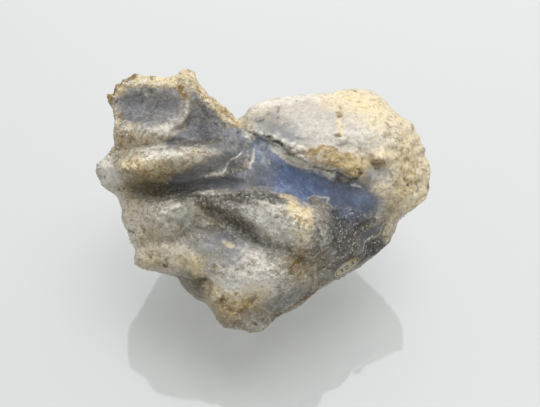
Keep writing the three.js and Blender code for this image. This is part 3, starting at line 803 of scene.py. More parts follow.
PALE_PATCHES = (
    *spots(
        0.95,
        # horn
        # (-35.5, 32.4) and (-34, 30) are painted light on the upper hollow's shaded upper wall;
        # (-32.5, 24.6) partly lightens its floor the same way.
        (-27, 21.4, 2.6, 1.2, 30, 0.4), (-35.5, 32.4, 5.6, 1.2, -6, 0.5), (-34, 30, 6, 2, -4, 0.3),
        (-18.6, 25.6, 3, 2.6, -50, 0.25), (-32.5, 24.6, 6, 3, -8, 0.2),
        (-28, 20.4, 4.5, 0.8, 5, 0.6), (-36, 17.4, 6, 3, 0, 0.35),
        # upper roll
        (-31, 14.8, 4, 1.6, 8, 0.5),
        # round bump and left flank: partly the real pale grey, partly painted light for the side
        # turned away from the softbox
        (-44.5, 8.4, 2.6, 4.4, 0, 0.85), (-37, -5, 4, 7, 0, 0.45), (-33, -1.5, 5, 3.5, 20, 0.4),
        (-42.6, 5.4, 2, 3, 0, 0.4),
        # lower roll: partly its real frosty white, partly painted light on its downward-facing
        # front
        (0.5, -4.4, 7.5, 3.4, -22, 1), (4, -6.2, 6.4, 3, -28, 0.9), (-0.6, -8.6, 3, 1.8, -28, 0.4),
        # left mass
        (-27, -13.4, 4.6, 2.2, -8, 0.65), (-28.6, -5.8, 3, 3.2, 0, 0.45),
        (-25.4, -15, 5, 2.4, -10, 0.7),
        # lower mass and bottom knob
        (-3.4, -19.4, 8.6, 3.4, -6, 0.95), (-8, -21.4, 6, 2.6, 10, 0.75),
        (-4, -22.8, 7, 2.6, 5, 0.85), (-10.4, -22.2, 5.4, 2.6, 8, 0.95),
        (-13.8, -24.4, 2.2, 2.4, 30, 0.9), (-5.5, -13.5, 3.4, 2, -30, 0.6),
        (1, -24, 3, 2, 20, 0.4),
        # crack, ridge and nodule
        # (4.6, 13.2) and (11, 10.6) are partly a real crumbly edge and partly painted light over
        # the shade of the crack's step; (-3, 25.8) is painted light on the upturned rim at the
        # lobe's left end.
        (-2.6, 12.6, 2.4, 3, 0, 0.25), (4.6, 13.2, 4.2, 1.3, -32, 0.55),
        (11, 10.6, 4.6, 1, -14, 0.6), (14, 12, 4, 1.6, -12, 0.25), (11, 20.8, 6.5, 3.2, -12, 0.35),
        (-3, 25.8, 4, 1.6, 24, 0.5),
        # dark face
        (29.8, -3.6, 2, 2.6, 0, 0.5),
        # lobe
        (28, 17.4, 6, 2.2, -10, 0.8), (31, 8.4, 3, 2, 0, 0.5), (23.6, 20, 3.4, 3.6, 0, 0.4),
        (31, 6, 3.4, 2.4, 0, 0.4), (40, 11, 4.5, 9, 0, 0.4), (30, 18, 6, 4, 0, 0.4),
    ),
    *spots(
        0.5,
        (1.3, 18.3, 1.4, 0.7, -15, 0.6), (3.6, 17, 1.1, 0.6, 0, 0.6),
        (6.3, 16.2, 1.7, 0.6, -10, 0.5), (8.6, 15.4, 1.7, 0.7, -15, 0.7),
        (16.6, 8.2, 0.8, 0.7, 0, 0.7), (-6, 19.4, 1.4, 1.1, 0, 0.7),
    ),
    *streaks(
        # horn
        (((-23.6, 22), (-22, 24.8), (-21.5, 28)), 0.5, 0.6),
        # upper roll
        (((-34, 12), (-30, 12.8), (-24, 13.4)), 0.8, 0.7),
        (((-16.8, 7.3), (-14, 8.6), (-11.8, 10.8), (-9.4, 12.6), (-7.8, 14)), 0.3, 0.9),
        (((-5.4, 8.8), (-4.6, 10.6), (-3.8, 14.2)), 0.35, 0.9),
        (((-22, 2.8), (-18, 3.3), (-15.4, 3)), 0.4, 0.6),
        # round bump and left flank: partly the real pale grey, partly painted light for the side
        # turned away from the softbox
        (((-42.4, 7), (-40.6, 3), (-39.6, -3), (-38, -10), (-36, -14)), 1.8, 0.7),
        # left mass
        (((-30, -2.8), (-28, -1.6), (-25.4, -0.6)), 0.45, 0.85),
        # lower mass and bottom knob
        # painted light on the left-facing end of the bottom knob
        (((-14.6, -20.4), (-14.6, -23.4), (-15.2, -25.8)), 0.9, 1),
        # crack, ridge and nodule
        (((-2, 26.6), (4, 28.2), (12, 28.4), (19, 29.4)), 1.3, 0.6),
        (((0, 14.8), (4.6, 11.6), (8.6, 9.6), (12, 9.1), (16.4, 8.8)), 0.45, 0.75),
        (((-0.6, 10.2), (-0.8, 12.4)), 0.2, 0.6),
        # painted light on the downward-facing lower side of the ridge
        (((-3, 18.2), (1, 15.8), (4.4, 13.6), (8, 11.2)), 0.9, 0.4),
        (((7, 12), (8.2, 10.8), (9.6, 9.8)), 0.5, 0.6),
        # blue break
        (((9.5, 9), (13, 8.4), (17, 7.8)), 0.8, 0.4),
        (((22, 4.9), (24.6, 4.6)), 0.25, 0.8),
        # dark face
        (((11, 1.3), (12.4, 1.8), (14.8, 1.1), (15.3, -0.6), (16.5, -1.5)), 0.25, 0.5),
        (((13.9, -7.8), (13.4, -10)), 0.3, 0.5),
        (((11, -14.6), (13, -12.6), (14, -12)), 0.4, 0.35),
        (((30, -8.6), (27, -10), (22.6, -11.6), (19, -14)), 0.25, 0.45),
        # lobe
        (((42, 7), (40.4, 1.6), (36, -1.4), (34, -7), (32.4, -9.6)), 1.8, 0.4),
    ),
)
CREAM_PATCHES = (
    # bright end of the lower roll
    Region(((4.8, -2.6), (4.6, -0.5), (6, 0.7), (8, 0.5), (10, -0.5), (11.7, -1.6), (12, -3.2),
            (11.6, -5), (10.8, -6.6), (9, -6.4), (7, -5.2), (5.4, -4)), 0.8, 1),
    *spots(
        0.95,
        # horn
        (-14.5, 26, 4, 1.4, -42, 0.4), (-22.6, 33, 3.5, 2.4, 0, 0.4), (-36, 17.2, 5, 2.4, 0, 0.4),
        (-41.8, 20, 1, 5, 0, 0.5),
        # upper roll
        (-36, 10.6, 3.8, 2.4, -10, 0.95), (-31, 9.2, 4, 1.6, -5, 0.4),
        # round bump and left flank
        (-35, -14.5, 3.4, 2.6, 0, 0.4), (-38.5, -3, 2, 5, 0, 0.3),
        # lower roll
        (8, -8, 3.4, 1.8, -20, 0.55), (8, -11, 1.6, 3, -10, 0.4),
        (-11.5, -10.6, 1.6, 0.6, -15, 0.7),
        # left mass
        (-21, -16, 3, 2, -10, 1), (-27, -15, 5, 2.4, -6, 0.45),
        # lower mass and bottom knob
        # (-15, -24) is partly cream and partly painted light on the left-facing end of the bottom
        # knob; (-3, -23.6) is painted light on a downward-facing spot.
        (-15, -24, 1.8, 2.6, 0, 0.9), (-8.6, -26, 6, 2.4, 8, 0.6), (-3, -23.6, 3, 2, 0, 0.4),
        (-16.4, -22.8, 0.9, 1.8, 0, 0.5),
        # crack, ridge and nodule
        (3, 24, 6, 3, 10, 0.12),
        # blue break
        # partly the nodule's gold, partly painted light on its downward-facing lower end
        (22, 8, 2.6, 1.4, -20, 0.25),
        # dark face
        (9, -18.5, 3, 2, -30, 0.35),
        # lobe
        (25.4, 27.4, 10, 4, -25, 0.95), (34, 21, 5.5, 4.5, -30, 0.3), (29.6, 20, 4, 4, -30, 0.25),
        (17.5, 28.4, 5, 2.5, 0, 0.5), (19.4, 20.6, 1, 2.8, 0, 0.6), (29.8, 12.6, 2, 1.1, 0, 0.8),
        (37, 11, 6, 8, 0, 0.45), (26, 12, 6, 4, 0, 0.3), (34.8, 4.6, 1.6, 2.4, 20, 0.6),
        (42.4, 6, 1.2, 5, 0, 0.4), (29.5, 4.2, 2, 0.8, 10, 0.5),
    ),
    *streaks(
        (((-34.6, 34.2), (-32, 33.6), (-29.5, 33.4), (-26, 34.2)), 1, 0.8),
        (((-26, 34.2), (-23, 35), (-21, 34)), 1.3, 0.7),
        (((42, 6), (40, 1), (35.5, -2), (33.5, -7), (32, -9.6)), 1.6, 0.35),
        (((-19.8, 31.5), (-17, 28.8), (-14, 26), (-11.5, 23.8), (-8.5, 21.2)), 1.1, 0.8),
        (((-41, 30), (-38.6, 32.4), (-35, 33), (-30, 32.6), (-26, 32.8)), 1.3, 0.6),
        (((3, 2), (6, 0.8), (9.6, -0.6)), 0.4, 0.8),
    ),
)
# Dark marks: a few real specks and a brown seam on the lobe, but mostly painted shade in pits,
# cracks, ledge steps and grooves, under the rolls, in the recess and under the nodules.
DARK_AND_SHADE_PATCHES = (
    *spots(
        0.4,
        # horn
        (-14.4, 21.7, 0.3, 0.55, 0, 1), (-12.8, 20.9, 0.45, 0.4, 0, 1),
        # upper roll
        (-15.8, 9.7, 0.35, 0.6, 0, 0.8),
        # round bump and left flank
        (-37.4, -7.2, 0.5, 0.6, 30, 1),
        # lower roll
        (-7, 1.5, 0.5, 0.35, 0, 0.7), (9.8, -0.8, 0.5, 0.3, 0, 0.6),
        # crack, ridge and nodule
        (-8.8, 19, 0.3, 0.5, 0, 1), (1.9, 25, 0.4, 0.4, 30, 0.7), (1.8, 23.4, 0.3, 0.35, 0, 0.7),
        (7.4, 27.5, 0.4, 0.35, 0, 0.6), (3.2, 9.7, 0.3, 0.25, 0, 1),
        # dark face
        (17.8, -2, 0.8, 0.7, 0, 0.7),
        # lobe
        (18.6, 25.6, 0.5, 0.35, 0, 0.9), (19.3, 24, 0.6, 0.5, 0, 0.9),
        (18.5, 18, 0.7, 0.4, 20, 0.6), (28, 23.6, 0.3, 0.4, 0, 0.6), (31, 21.5, 0.5, 0.3, 0, 0.6),
        # (37.4, 4.9) is painted shade in a pit, and (28.6, 10.8) the painted shadow under the
        # small knob.
        (37.4, 4.9, 0.5, 0.6, 20, 0.8), (28.6, 10.8, 1.3, 0.5, -10, 0.6),
        (22.8, 30.7, 1, 0.3, 0, 0.7), (38.2, 20.6, 0.4, 1, 0, 0.5), (32, 20.8, 0.8, 0.3, -20, 0.5),
    ),
    *spots(
        0.95,
        # (-15.4, -0.8), (-9.5, -5.8), (-33, 4) and (-17, 4.6) are painted shade under the two
        # rolls, and (-18.6, -22) painted shade in the recess.
        (-15.4, -0.8, 3.6, 1.1, -12, 0.85), (-9.5, -5.8, 4.4, 1.6, -12, 0.75),
        (-33, 4, 5, 1.4, 0, 0.4), (-18.6, -22, 2, 1.6, 0, 0.5), (27, -5.5, 6, 4, 25, 0.4),
        (5, -22, 2.2, 6, -30, 0.25), (-17, 4.6, 8, 1.4, 3, 0.3),
    ),
    *streaks(
        # horn
        (((-23.8, 20), (-22.6, 21.4)), 0.25, 0.5),
        # painted shade at the foot of the second hollow, above the upper roll's crest
        (((-24, 16.7), (-21, 16.6), (-17, 16.4), (-13.4, 17)), 0.5, 0.55),
        # upper roll
        # painted shadow below the left end of the upper roll
        (((-39, 8.8), (-36.6, 7.2), (-33.6, 6.4)), 0.4, 0.5),
        # lower roll
        # painted shade under the lip along the lower roll's upper edge
        (((-10, 3.1), (-5, 3.3), (-1.6, 1.6), (2.6, -0.6)), 0.2, 0.6),
        (((2, 2), (5, 0.6), (8.4, -0.6)), 0.2, 0.6),
        # crack, ridge and nodule
        # painted shade in the crack along the ridge
        (((-0.6, 17.6), (1.4, 16.6), (3, 15.8)), 0.45, 0.9),
        (((5, 14), (6.4, 13.6)), 0.4, 0.7),
        (((7.4, 12.7), (8.6, 11.6), (9.8, 10.8)), 0.3, 0.6),
        # blue break
        # painted shadow under the lower edge of the rusty nodule
        (((11.4, 9.6), (14.4, 9.2), (17, 8.4), (18.8, 7.2), (20.8, 6.2), (22.8, 6.6),
          (24.6, 8.6)), 0.3, 0.8),
        # dark face
        # painted shade along the steps of the dark face
        (((24.4, -6.9), (22, -8.6), (20, -9.4)), 0.35, 0.6),
        (((18.6, -15), (14, -17.4), (10.8, -19.8)), 0.25, 0.6),
        # lobe
        (((30.4, 18.2), (33, 17.8), (34.6, 17)), 0.25, 0.5),
    ),
)
# Where the grit is worn to a milky skin.
GRIT_PATCHES = spots(
    0.8,
    (-22, -13, 13, 6.5, -8, 0.8), (-7, -23.6, 9, 4, 6, 0.9), (-21, 12.6, 8, 2, 5, 0.7),
    (-37, 4, 5, 14, 0, 0.5), (-33, 17.6, 7, 3, 0, 0.4), (-10, -29.6, 7, 4, 0, 0.5),
)
RUST_PATCHES = (
    *spots(
        0.5,
        # horn
        (-42.7, 28.4, 1, 1.2, 0, 0.9), (-37.8, 17.4, 1.8, 1.2, 0, 0.5),
        (-34, 16.2, 1.4, 0.9, 0, 0.5), (-40.2, 17.8, 0.9, 1.8, 0, 0.5),
        (-31.7, 33.6, 0.4, 0.6, 0, 0.9), (-24.2, 30.8, 1.1, 1, 0, 0.95),
        (-23.2, 29.2, 1, 0.7, 0, 0.9), (-25.2, 26.8, 0.4, 0.7, 20, 0.7),
        (-40.8, 23.6, 0.5, 0.9, 0, 0.6), (-19.8, 27, 0.5, 1.2, 0, 0.5),
        # upper roll
        (-35, 5.6, 6, 3, 0, 0.22), (-37, 11.2, 1.1, 0.6, 0, 0.7), (-35.8, 11.6, 0.7, 0.6, 0, 0.8),
        (-35.2, 10.7, 0.8, 0.4, 0, 0.6), (-23.3, 7.9, 0.35, 0.4, 0, 0.9),
        (-39.6, 3.2, 0.8, 0.7, 0, 0.6),
        # round bump and left flank
        (-36, -2.2, 0.4, 0.6, 0, 0.6),
        # lower roll
        (12.3, 0.4, 0.5, 0.7, 20, 0.7), (-18, 0.4, 1, 0.6, -20, 0.5),
        # left mass
        (-28.4, -16.7, 0.7, 0.7, 30, 0.9), (-24.3, -6.6, 0.5, 0.4, 0, 0.7),
        # lower mass and bottom knob
        (-20, -22.6, 4, 3, -30, 0.22), (-8, -28, 7, 4, 5, 0.22),
        (-14.8, -16.9, 0.5, 0.6, -30, 0.8), (-12.7, -17, 0.4, 0.3, 0, 0.8),
        (-13, -26.4, 1.8, 0.8, 20, 0.7), (-10.5, -28, 1.4, 0.8, 0, 0.5),
        (-5.4, -26.8, 1.2, 0.9, 0, 0.7), (-8.8, -24, 0.5, 0.4, 0, 0.8),
        (-6, -28.3, 2.4, 0.6, 0, 0.4), (2.8, -22.1, 0.4, 0.5, 30, 0.9),
        (-2, -22.4, 0.3, 0.25, 0, 0.6),
        # crack, ridge and nodule
        (12, 14.2, 1.6, 0.6, 20, 0.6), (15.6, 13, 2, 1.1, 10, 0.65),
        (18.8, 11.6, 3.2, 1.9, -14, 0.5), (7, 14, 0.5, 0.5, 0, 0.6),
        # blue break
        (22.4, 8.4, 2, 1.2, 20, 0.6),
        # dark face
        (9, -16, 4, 5, -20, 0.2), (10, -17.9, 0.7, 0.6, 0, 0.7),
        # lobe
        (29.6, 11.6, 1.5, 0.8, 0, 0.6), (34.2, 4.8, 1.4, 1.2, 0, 0.3),
        (18.9, 25, 0.8, 0.9, 30, 0.75), (18.7, 18.2, 0.8, 0.5, 20, 0.6),
        (43.1, 5, 0.4, 0.9, 0, 0.7), (33.4, 5.2, 0.7, 0.5, 0, 0.4), (35.4, 3.8, 0.5, 0.7, 0, 0.4),
        (35, 0.8, 0.4, 0.3, 0, 0.6), (39.8, 0.7, 0.3, 0.25, 0, 0.7),
        (29.8, 11.2, 1.2, 0.4, -10, 0.5),
    ),
    *streaks(
        # horn
        (((-42.2, 29.8), (-41.8, 31.4), (-39.8, 33.2), (-36.8, 34.6)), 0.7, 0.75),
        (((-19.8, 31.5), (-17, 28.8), (-14, 26), (-11.5, 23.8), (-9, 21.6)), 0.5, 0.5),
        (((-12.9, 21), (-10, 20.6), (-7.6, 20.4)), 0.3, 0.5),
        # upper roll
        (((-34, 8), (-30, 7.4), (-27, 7.8)), 0.8, 0.5),
        (((-21.2, 13.2), (-19.4, 13.4), (-16.6, 13.9)), 0.22, 0.85),
        (((-37.6, 12.4), (-38.2, 10.6), (-36.6, 8.6), (-33, 7.9)), 0.5, 0.6),
        # lower mass and bottom knob
        (((6.8, -16.8), (6, -17.8)), 0.7, 0.85),
        (((4.6, -29), (8, -27.2), (10.6, -25.4)), 0.4, 0.7),
        (((-13.6, -26), (-12.4, -27.6), (-10, -28.6)), 0.5, 0.7),
        (((-9, -28.9), (-5.4, -27.8), (-4, -25.4)), 0.5, 0.6),
        (((1, -30.4), (2.4, -30.4)), 0.4, 0.8),
        # crack, ridge and nodule
        (((24.6, 12), (24.8, 9.6), (23.4, 7.4)), 0.3, 0.6),
        (((9.2, 13.2), (10.6, 14.6), (13.6, 15.2), (17.6, 14.8), (21, 13.4)), 0.4, 0.8),
        # dark face
        (((8.8, -14.3), (7.4, -16)), 0.45, 1),
        (((12.4, -24), (13.6, -22.9)), 0.35, 0.9),
    ),
)
PATCHES: dict[Tint, tuple[Patch | Region, ...]] = {
    Tint.TAN: TAN_PATCHES,
    Tint.AGATE: AGATE_PATCHES,
    Tint.ASH_AND_SHADE: ASH_AND_SHADE_PATCHES,
    Tint.MOSS: MOSS_PATCHES,
    Tint.BLUE: BLUE_PATCHES,
    Tint.PALE: PALE_PATCHES,
    Tint.CREAM: CREAM_PATCHES,
    Tint.DARK: DARK_AND_SHADE_PATCHES,
    Tint.GRIT: GRIT_PATCHES,
    Tint.RUST: RUST_PATCHES,
}
# The pale lobe, and the dark sparkling face at the lower right, whose ash-grey is partly painted
# shade.
LOBE = Region(((-12, 34), (-8, 23.6), (-3.5, 20.3), (1, 17.6), (5, 14.3), (8, 11), (14, 10),
               (18, 9), (22, 7), (26.5, 5.6), (29.5, 1.5), (30.5, -3), (33, -6), (35, -12),
               (52, -12), (52, 42)), 1.7)
LOWER_FACE = Region(((12.5, 0), (12.2, -5), (10, -11), (7, -17), (3.5, -22), (-2, -27),
                     (0, -38), (44, -24), (35, -8), (30.5, -3), (24, -2), (17, -1)), 1.2)
# A flake stuck on the dark face, and the recess under the left flank.
FLAKE = Region(((10.8, 1.5), (12.4, 2.0), (14.9, 1.2), (15.4, -0.7), (16.7, -1.5), (15.9, -5.0),
                (15.1, -7.2), (14.0, -9.3), (13.2, -7.2), (12.4, -5.0), (11.3, -1.2)), 0.22)
RECESS = Region(((-28, -20.2), (-24, -19.6), (-20.4, -20.4), (-17, -19.8), (-15.8, -21),
                 (-15.9, -23.4), (-16.6, -25.6), (-15.4, -32), (-32, -32), (-32, -21)), 0.3)
LEDGES = (
    # steps of the dark face
    Ledge(((33, -3.6), (29, -5.2), (25.4, -7.4), (21.6, -10.2), (17, -14.4)), 0.5, 4.0),
    Ledge(((34, -6.6), (29, -9.2), (24, -12), (17.6, -16.2), (10, -21.4)), 0.6, 4.5),
    # steps of the lobe's right side
    Ledge(((37.4, 12.8), (36.2, 8.6), (36.8, 4.6)), 0.8, 2.2),
    Ledge(((40.6, 11.8), (39.2, 8.2), (39.8, 4.2)), 0.6, 2.0),
)
# Small raised flakes, lips and crumbs: the height in mm is the patch's strength.
CHIPS = (
    *spots(0.8, (20.8, 8.6, 3.0, 1.8, -25, 0.7), (-34.5, 31.2, 7.5, 2.6, -5, 1.6)),
    *streaks(
        (((-22, 2.4), (-17, 3), (-10, 2.7), (-3, 3.6), (3, 3)), 0.6, 0.8),
        (((-30, -2.9), (-28, -1.4), (-25, -1)), 0.5, 0.4),
        (((-1.4, 18.6), (3, 14.6), (7.6, 11.2), (11, 9.6), (15, 8.8)), 0.5, 0.5),
        (((34.2, 12.4), (33, 9), (33.8, 5.6)), 0.8, 0.6),
    ),
    *spots(
        0.35,
        (-42.6, 28.4, 1.2, 1.6, 0, 1.0), (-5.6, 20.4, 1.0, 0.7, -30, 0.7),
        (-4.8, 24.8, 1.3, 0.8, -50, 0.9), (-2.8, 22.8, 1.2, 0.8, 30, 0.8),
        (-6, 22.6, 1, 0.8, 0, 0.8), (-3.4, 26.4, 1.3, 0.8, 30, 0.7),
        (0.2, 21.8, 1.5, 0.7, -20, 0.6), (-1, 24.6, 1.6, 0.7, 10, 0.5),
        (-3.2, 19.4, 1.3, 0.8, -30, 1.0), (-0.6, 19.2, 1.2, 0.9, 10, 0.9),
        (1.4, 18.0, 1.3, 0.8, -50, 1.1), (0.4, 17.0, 0.9, 0.6, -20, 0.7),
        (3.4, 17.4, 1.1, 0.7, 20, 0.8), (4.0, 15.8, 1.3, 0.7, -40, 1.0),
        (6.0, 16.2, 1.0, 0.7, 0, 0.9), (6.4, 14.4, 1.2, 0.7, -50, 0.9),
        (8.4, 14.9, 1.0, 0.6, -10, 0.7), (8.2, 12.8, 1.2, 0.6, -40, 0.9),
        (9.9, 11.6, 0.9, 0.6, -30, 0.7), (22.6, 14.2, 1.2, 0.7, 10, 0.6),
        (25.2, 12.9, 1.0, 0.6, -20, 0.5), (24.2, 9.6, 1.1, 0.7, -40, 0.6),
        (23.2, 7.4, 1.3, 0.6, -10, 0.6), (27.6, 13.9, 1.0, 0.6, 0, 0.5),
        (19.6, 17.2, 1.2, 0.8, 30, 0.5), (17.8, 16.0, 1.1, 0.5, 0, 0.5),
    ),
)
# Small pits, cracks and steps: the depth in mm is the patch's strength.
PITS = (
    *spots(
        0.4,
        (-33.2, 30.3, 1.7, 0.9, -25, 0.8), (-14.5, 21.5, 0.6, 0.6, 0, 0.6),
        (-12.8, 20.8, 0.5, 0.5, 0, 0.5), (18.8, 25.0, 0.9, 1.3, 30, 0.9),
        (18.5, 18.0, 0.8, 0.6, 0, 0.7), (37.3, 5.2, 1.0, 1.6, 20, 1.1),
        (-37.5, -7.2, 0.6, 0.7, 0, 0.6), (28.8, 10.4, 1.5, 0.7, -16, 0.4),
        (38.2, 9.4, 0.8, 1.6, 10, 0.6), (23.6, 9.2, 0.8, 1.2, -40, 0.5),
    ),
    *streaks(
        (((-4.4, 18.6), (0, 16.4), (3.4, 14.2), (6.4, 12.4), (9.6, 10.6)), 0.25, 0.45),
        (((11.4, 9.6), (14.4, 9.0), (17, 8.2), (18.8, 7.0), (20.8, 6.0), (22.8, 6.4),
          (24.6, 8.4)), 0.3, 0.7),
        (((8.7, -14.3), (6.2, -17.5)), 0.5, 0.6),
        (((19.2, 24), (19.4, 18)), 0.5, 0.4),
        (((-24.6, -14.6), (-21.8, -16.2), (-20.4, -18.2)), 0.6, 0.5),
    ),
)


# ------------------------------------------------------------------ the stone's form

@dataclass(frozen=True)
class LabelSeat:
    """The flat that the label lies on, in mm."""

    u: float = 20.6
    v: float = -17.0
    w: float = 6.4
    fall: tuple[float, float] = (-1.38, 1.84)
    flat_radius: float = 4.6
    fade_radius: float = 9.0
    near_depth: float = 5.0
    far_depth: float = 11.0

    @property
    def middle(self) -> Array:
        """Middle of the seat."""
        return SIDE.place(np.array([self.u]), np.array([self.v]), np.array([self.w]))[0]

    @property
    def out(self) -> Array:
        """Direction straight out of the seat."""
        return unit(SIDE.outward - self.fall[0] * SIDE.across - self.fall[1] * SIDE.uphill)

    def share(self, points: Array) -> tuple[Array, Array]:
        """How points lie to the seat.

        Args:
            points: Places, in mm.

        Returns:
            How far each point belongs to the seat, and its height over the seat's plane.
        """
        over = (points - self.middle) @ self.out
        radius = np.linalg.norm(points - self.middle - over[:, None] * self.out, axis=1)
        near = smooth_step(radius, self.fade_radius, self.flat_radius)
        return near * smooth_step(-over, self.far_depth, self.near_depth), over

    def flatten(self, points: Array) -> Array:
        """Points with those near the seat moved onto its plane."""
        share, over = self.share(points)
        return points - (share * over)[:, None] * self.out


SEAT = LabelSeat()


def sphere_mesh(steps: int) -> tuple[Array, Array]:
    """Directions and triangles of a sphere of 20 * steps * steps even triangles.

    Args:
        steps: Stretches along each edge of the starting icosahedron.

    Returns:
        Unit directions, and rows of three direction numbers.
    """
    gold = (1 + math.sqrt(5)) / 2
    corners = np.array([(-1, gold, 0), (1, gold, 0), (-1, -gold, 0), (1, -gold, 0),
                        (0, -1, gold), (0, 1, gold), (0, -1, -gold), (0, 1, -gold),
                        (gold, 0, -1), (gold, 0, 1), (-gold, 0, -1), (-gold, 0, 1)], float)
    faces = ((0, 11, 5), (0, 5, 1), (0, 1, 7), (0, 7, 10), (0, 10, 11), (1, 5, 9), (5, 11, 4),
             (11, 10, 2), (10, 7, 6), (7, 1, 8), (3, 9, 4), (3, 4, 2), (3, 2, 6), (3, 6, 8),
             (3, 8, 9), (4, 9, 5), (2, 4, 11), (6, 2, 10), (8, 6, 7), (9, 8, 1))
    grid = [(i, j) for i in range(steps + 1) for j in range(steps + 1 - i)]
    number = {ij: k for k, ij in enumerate(grid)}
    up = [(number[i, j], number[i + 1, j], number[i, j + 1])
          for i in range(steps) for j in range(steps - i)]
    down = [(number[i + 1, j], number[i + 1, j + 1], number[i, j + 1])
            for i in range(steps) for j in range(steps - 1 - i)]
    share = np.array(grid, float) / steps
    points, triangles = [], []
    for k, (a, b, c) in enumerate(faces):
        points.append(corners[a] + share[:, :1] * (corners[b] - corners[a])
                      + share[:, 1:] * (corners[c] - corners[a]))
        triangles.append(np.array(up + down) + k * len(grid))
    points = unit(np.vstack(points))
    _, first, place = np.unique(np.round(points, 6), axis=0, return_index=True,
                                return_inverse=True)
    return points[first], place.reshape(-1)[np.vstack(triangles)]


def outline_at(share: Array) -> Array:
    """Points of the outline.

    Args:
        share: Shares of the outline's length, from where it is level with the hub.

    Returns:
        Rows of u, v and w.
    """
    corners = np.array(OUTLINE, float)
    angle = np.abs(np.arctan2(corners[:, 1] - HUB[1], corners[:, 0] - HUB[0]))
    corners = np.roll(corners, -int(np.argmin(angle)), axis=0)
    loop = np.vstack([corners, corners[:1]])
    length = np.concatenate([[0.0], np.cumsum(np.hypot(*np.diff(loop[:, :2], axis=0).T))])
    return np.stack([np.interp(share * length[-1], length, loop[:, k]) for k in range(3)], axis=1)


def mesh_normals(points: Array, triangles: Array) -> Array:
    """Outward directions of a closed mesh.

    Args:
        points: The mesh's points.
        triangles: Rows of three point numbers.

    Returns:
        The direction at each point.
    """
    a, b, c = (points[triangles[:, k]] for k in range(3))
    across = np.cross(b - a, c - a)
    total = np.zeros_like(points)
    for k in range(3):
        np.add.at(total, triangles[:, k], across)
    return unit(total)


@dataclass(frozen=True)
class PaleLobe:
    """The lobe at the right: a front and a top that bow past `bow_from`, and a bowed side."""

    front: Plane = Plane(15, 14, 11.8, -0.06, 0.12)
    top: Plane = Plane(17, 20, 10, -0.02, -0.75)
    side: Plane = Plane(35, 8, 8.8, -0.8, 0.05)
    bow_from: float = 18.0
    front_bow: float = 0.01
    top_bow: float = 0.035
    side_bow: float = 0.02
    crispness: float = 0.9

    def depth(self, u: Array, v: Array) -> Array:
        """Depth of the lobe.

        Args:
            u: Places across the side.
            v: Places up the side.

        Returns:
            The depth w at each place.
        """
        return soft_lowest(
            self.crispness,
            self.front.depth(u, v) - self.front_bow * np.maximum(0, u - self.bow_from) ** 2,
            self.top.depth(u, v) - self.top_bow * np.maximum(0, v - self.bow_from) ** 2,
            self.side.depth(u, v) - self.side_bow * (v - self.side.v) ** 2)


@dataclass(frozen=True)
class FrontRelief:
    """The relief of the showing side, in mm; crispness is that of the creases, per mm."""

    left_body: Plane = Plane(-20, 4, 12.6, 0.12, -0.1)
    left_top: Plane = Plane(-4, 8, 11.5, -1.3, -0.25)
    left_end: Plane = Plane(12.6, -4, 22, -2.2, -0.3)
    left_limit: float = 23.0
    left_over_dark: float = 0.5
    blue_break: tuple[Plane, Plane] = (Plane(8, 6, 14.6, -0.28, 0.02),
                                       Plane(-2, 8, 13.2, 0.25, 0))
    dark_face: Plane = Plane(12.5, -5, 21, -0.74, 0.41)
    notch: Plane = Plane(-4, 20, 13, 1.1, -1.2)
    lobe: PaleLobe = PaleLobe()
    ground_crispness: float = 1.0
    mass_crispness: float = 1.9
    left_crispness: float = 1.6
    right_crispness: float = 0.9
    flake_height: float = 0.6
    recess_depth: float = 4.6
    torn_by: float = 0.45
    torn_size: float = 1.8
    seam: tuple[float, float] = (-0.3, 0.7)

    def left_block(self, u: Array, v: Array) -> Array:
        """Depth of the rolled block at the left.

        Args:
            u: Places across the side.
            v: Places up the side.

        Returns:
            The depth w at each place.
        """
        ground = soft_lowest(self.ground_crispness, self.left_body.depth(u, v),
                             self.left_top.depth(u, v))
        ground = ground - sum(hollow.sink(u, v) for hollow in UPPER_HOLLOWS)
        rolled = soft_highest(self.mass_crispness, ground,
                              *[mass.depth(u, v) for mass in LEFT_MASSES])
        return soft_lowest(self.left_crispness, rolled,
                           self.dark_face.depth(u, v) + self.left_over_dark,
                           self.left_end.depth(u, v), np.full(u.shape, self.left_limit))

    def right_side(self, u: Array, v: Array) -> Array:
        """Depth of the blue break, the dark face, the lobe and the notch above them.

        Args:
            u: Places across the side.
            v: Places up the side.

        Returns:
            The depth w at each place.
        """
        blue = soft_lowest(self.right_crispness, *[flat.depth(u, v) for flat in self.blue_break])
        return soft_lowest(self.right_crispness, blue, self.dark_face.depth(u, v),
                           self.lobe.depth(u, v), self.notch.depth(u, v))

    def depth(self, u: Array, v: Array) -> tuple[Array, Array]:
        """Depth of the whole side.

        Args:
            u: Places across the side.
            v: Places up the side.

        Returns:
            Depths w, and how far each place belongs to the left block.
        """
        left, right = self.left_block(u, v), self.right_side(u, v)
        relief = soft_highest(self.mass_crispness, left, right,
                              *[mass.depth(u, v) for mass in RIGHT_MASSES])
        relief = relief - sum(hollow.sink(u, v) for hollow in HOLLOWS)
        relief = relief - sum(ledge.sink(u, v) for ledge in LEDGES)
        relief = relief + self.flake_height * FLAKE.cover(u, v)
        relief = relief - self.recess_depth * RECESS.cover(u, v)
        at = np.stack([u, v, 0.0 * u], axis=1)
        torn_u, torn_v = (
            along + self.torn_by * Lumps(self.torn_size, seed, octaves=2).at(at)
            for along, seed in ((u, 71), (v, 73)))
        relief = relief + sum(chip.cover(torn_u, torn_v) for chip in CHIPS)
        relief = relief - sum(pit.cover(torn_u, torn_v) for pit in PITS)
        return relief, smooth_step(left - right, *self.seam)


class Drift(Enum):
    """What a tint of the hidden sides follows."""

    PATCHES = "patches"
    VEINS = "veins"
    CROSSINGS = "crossings"


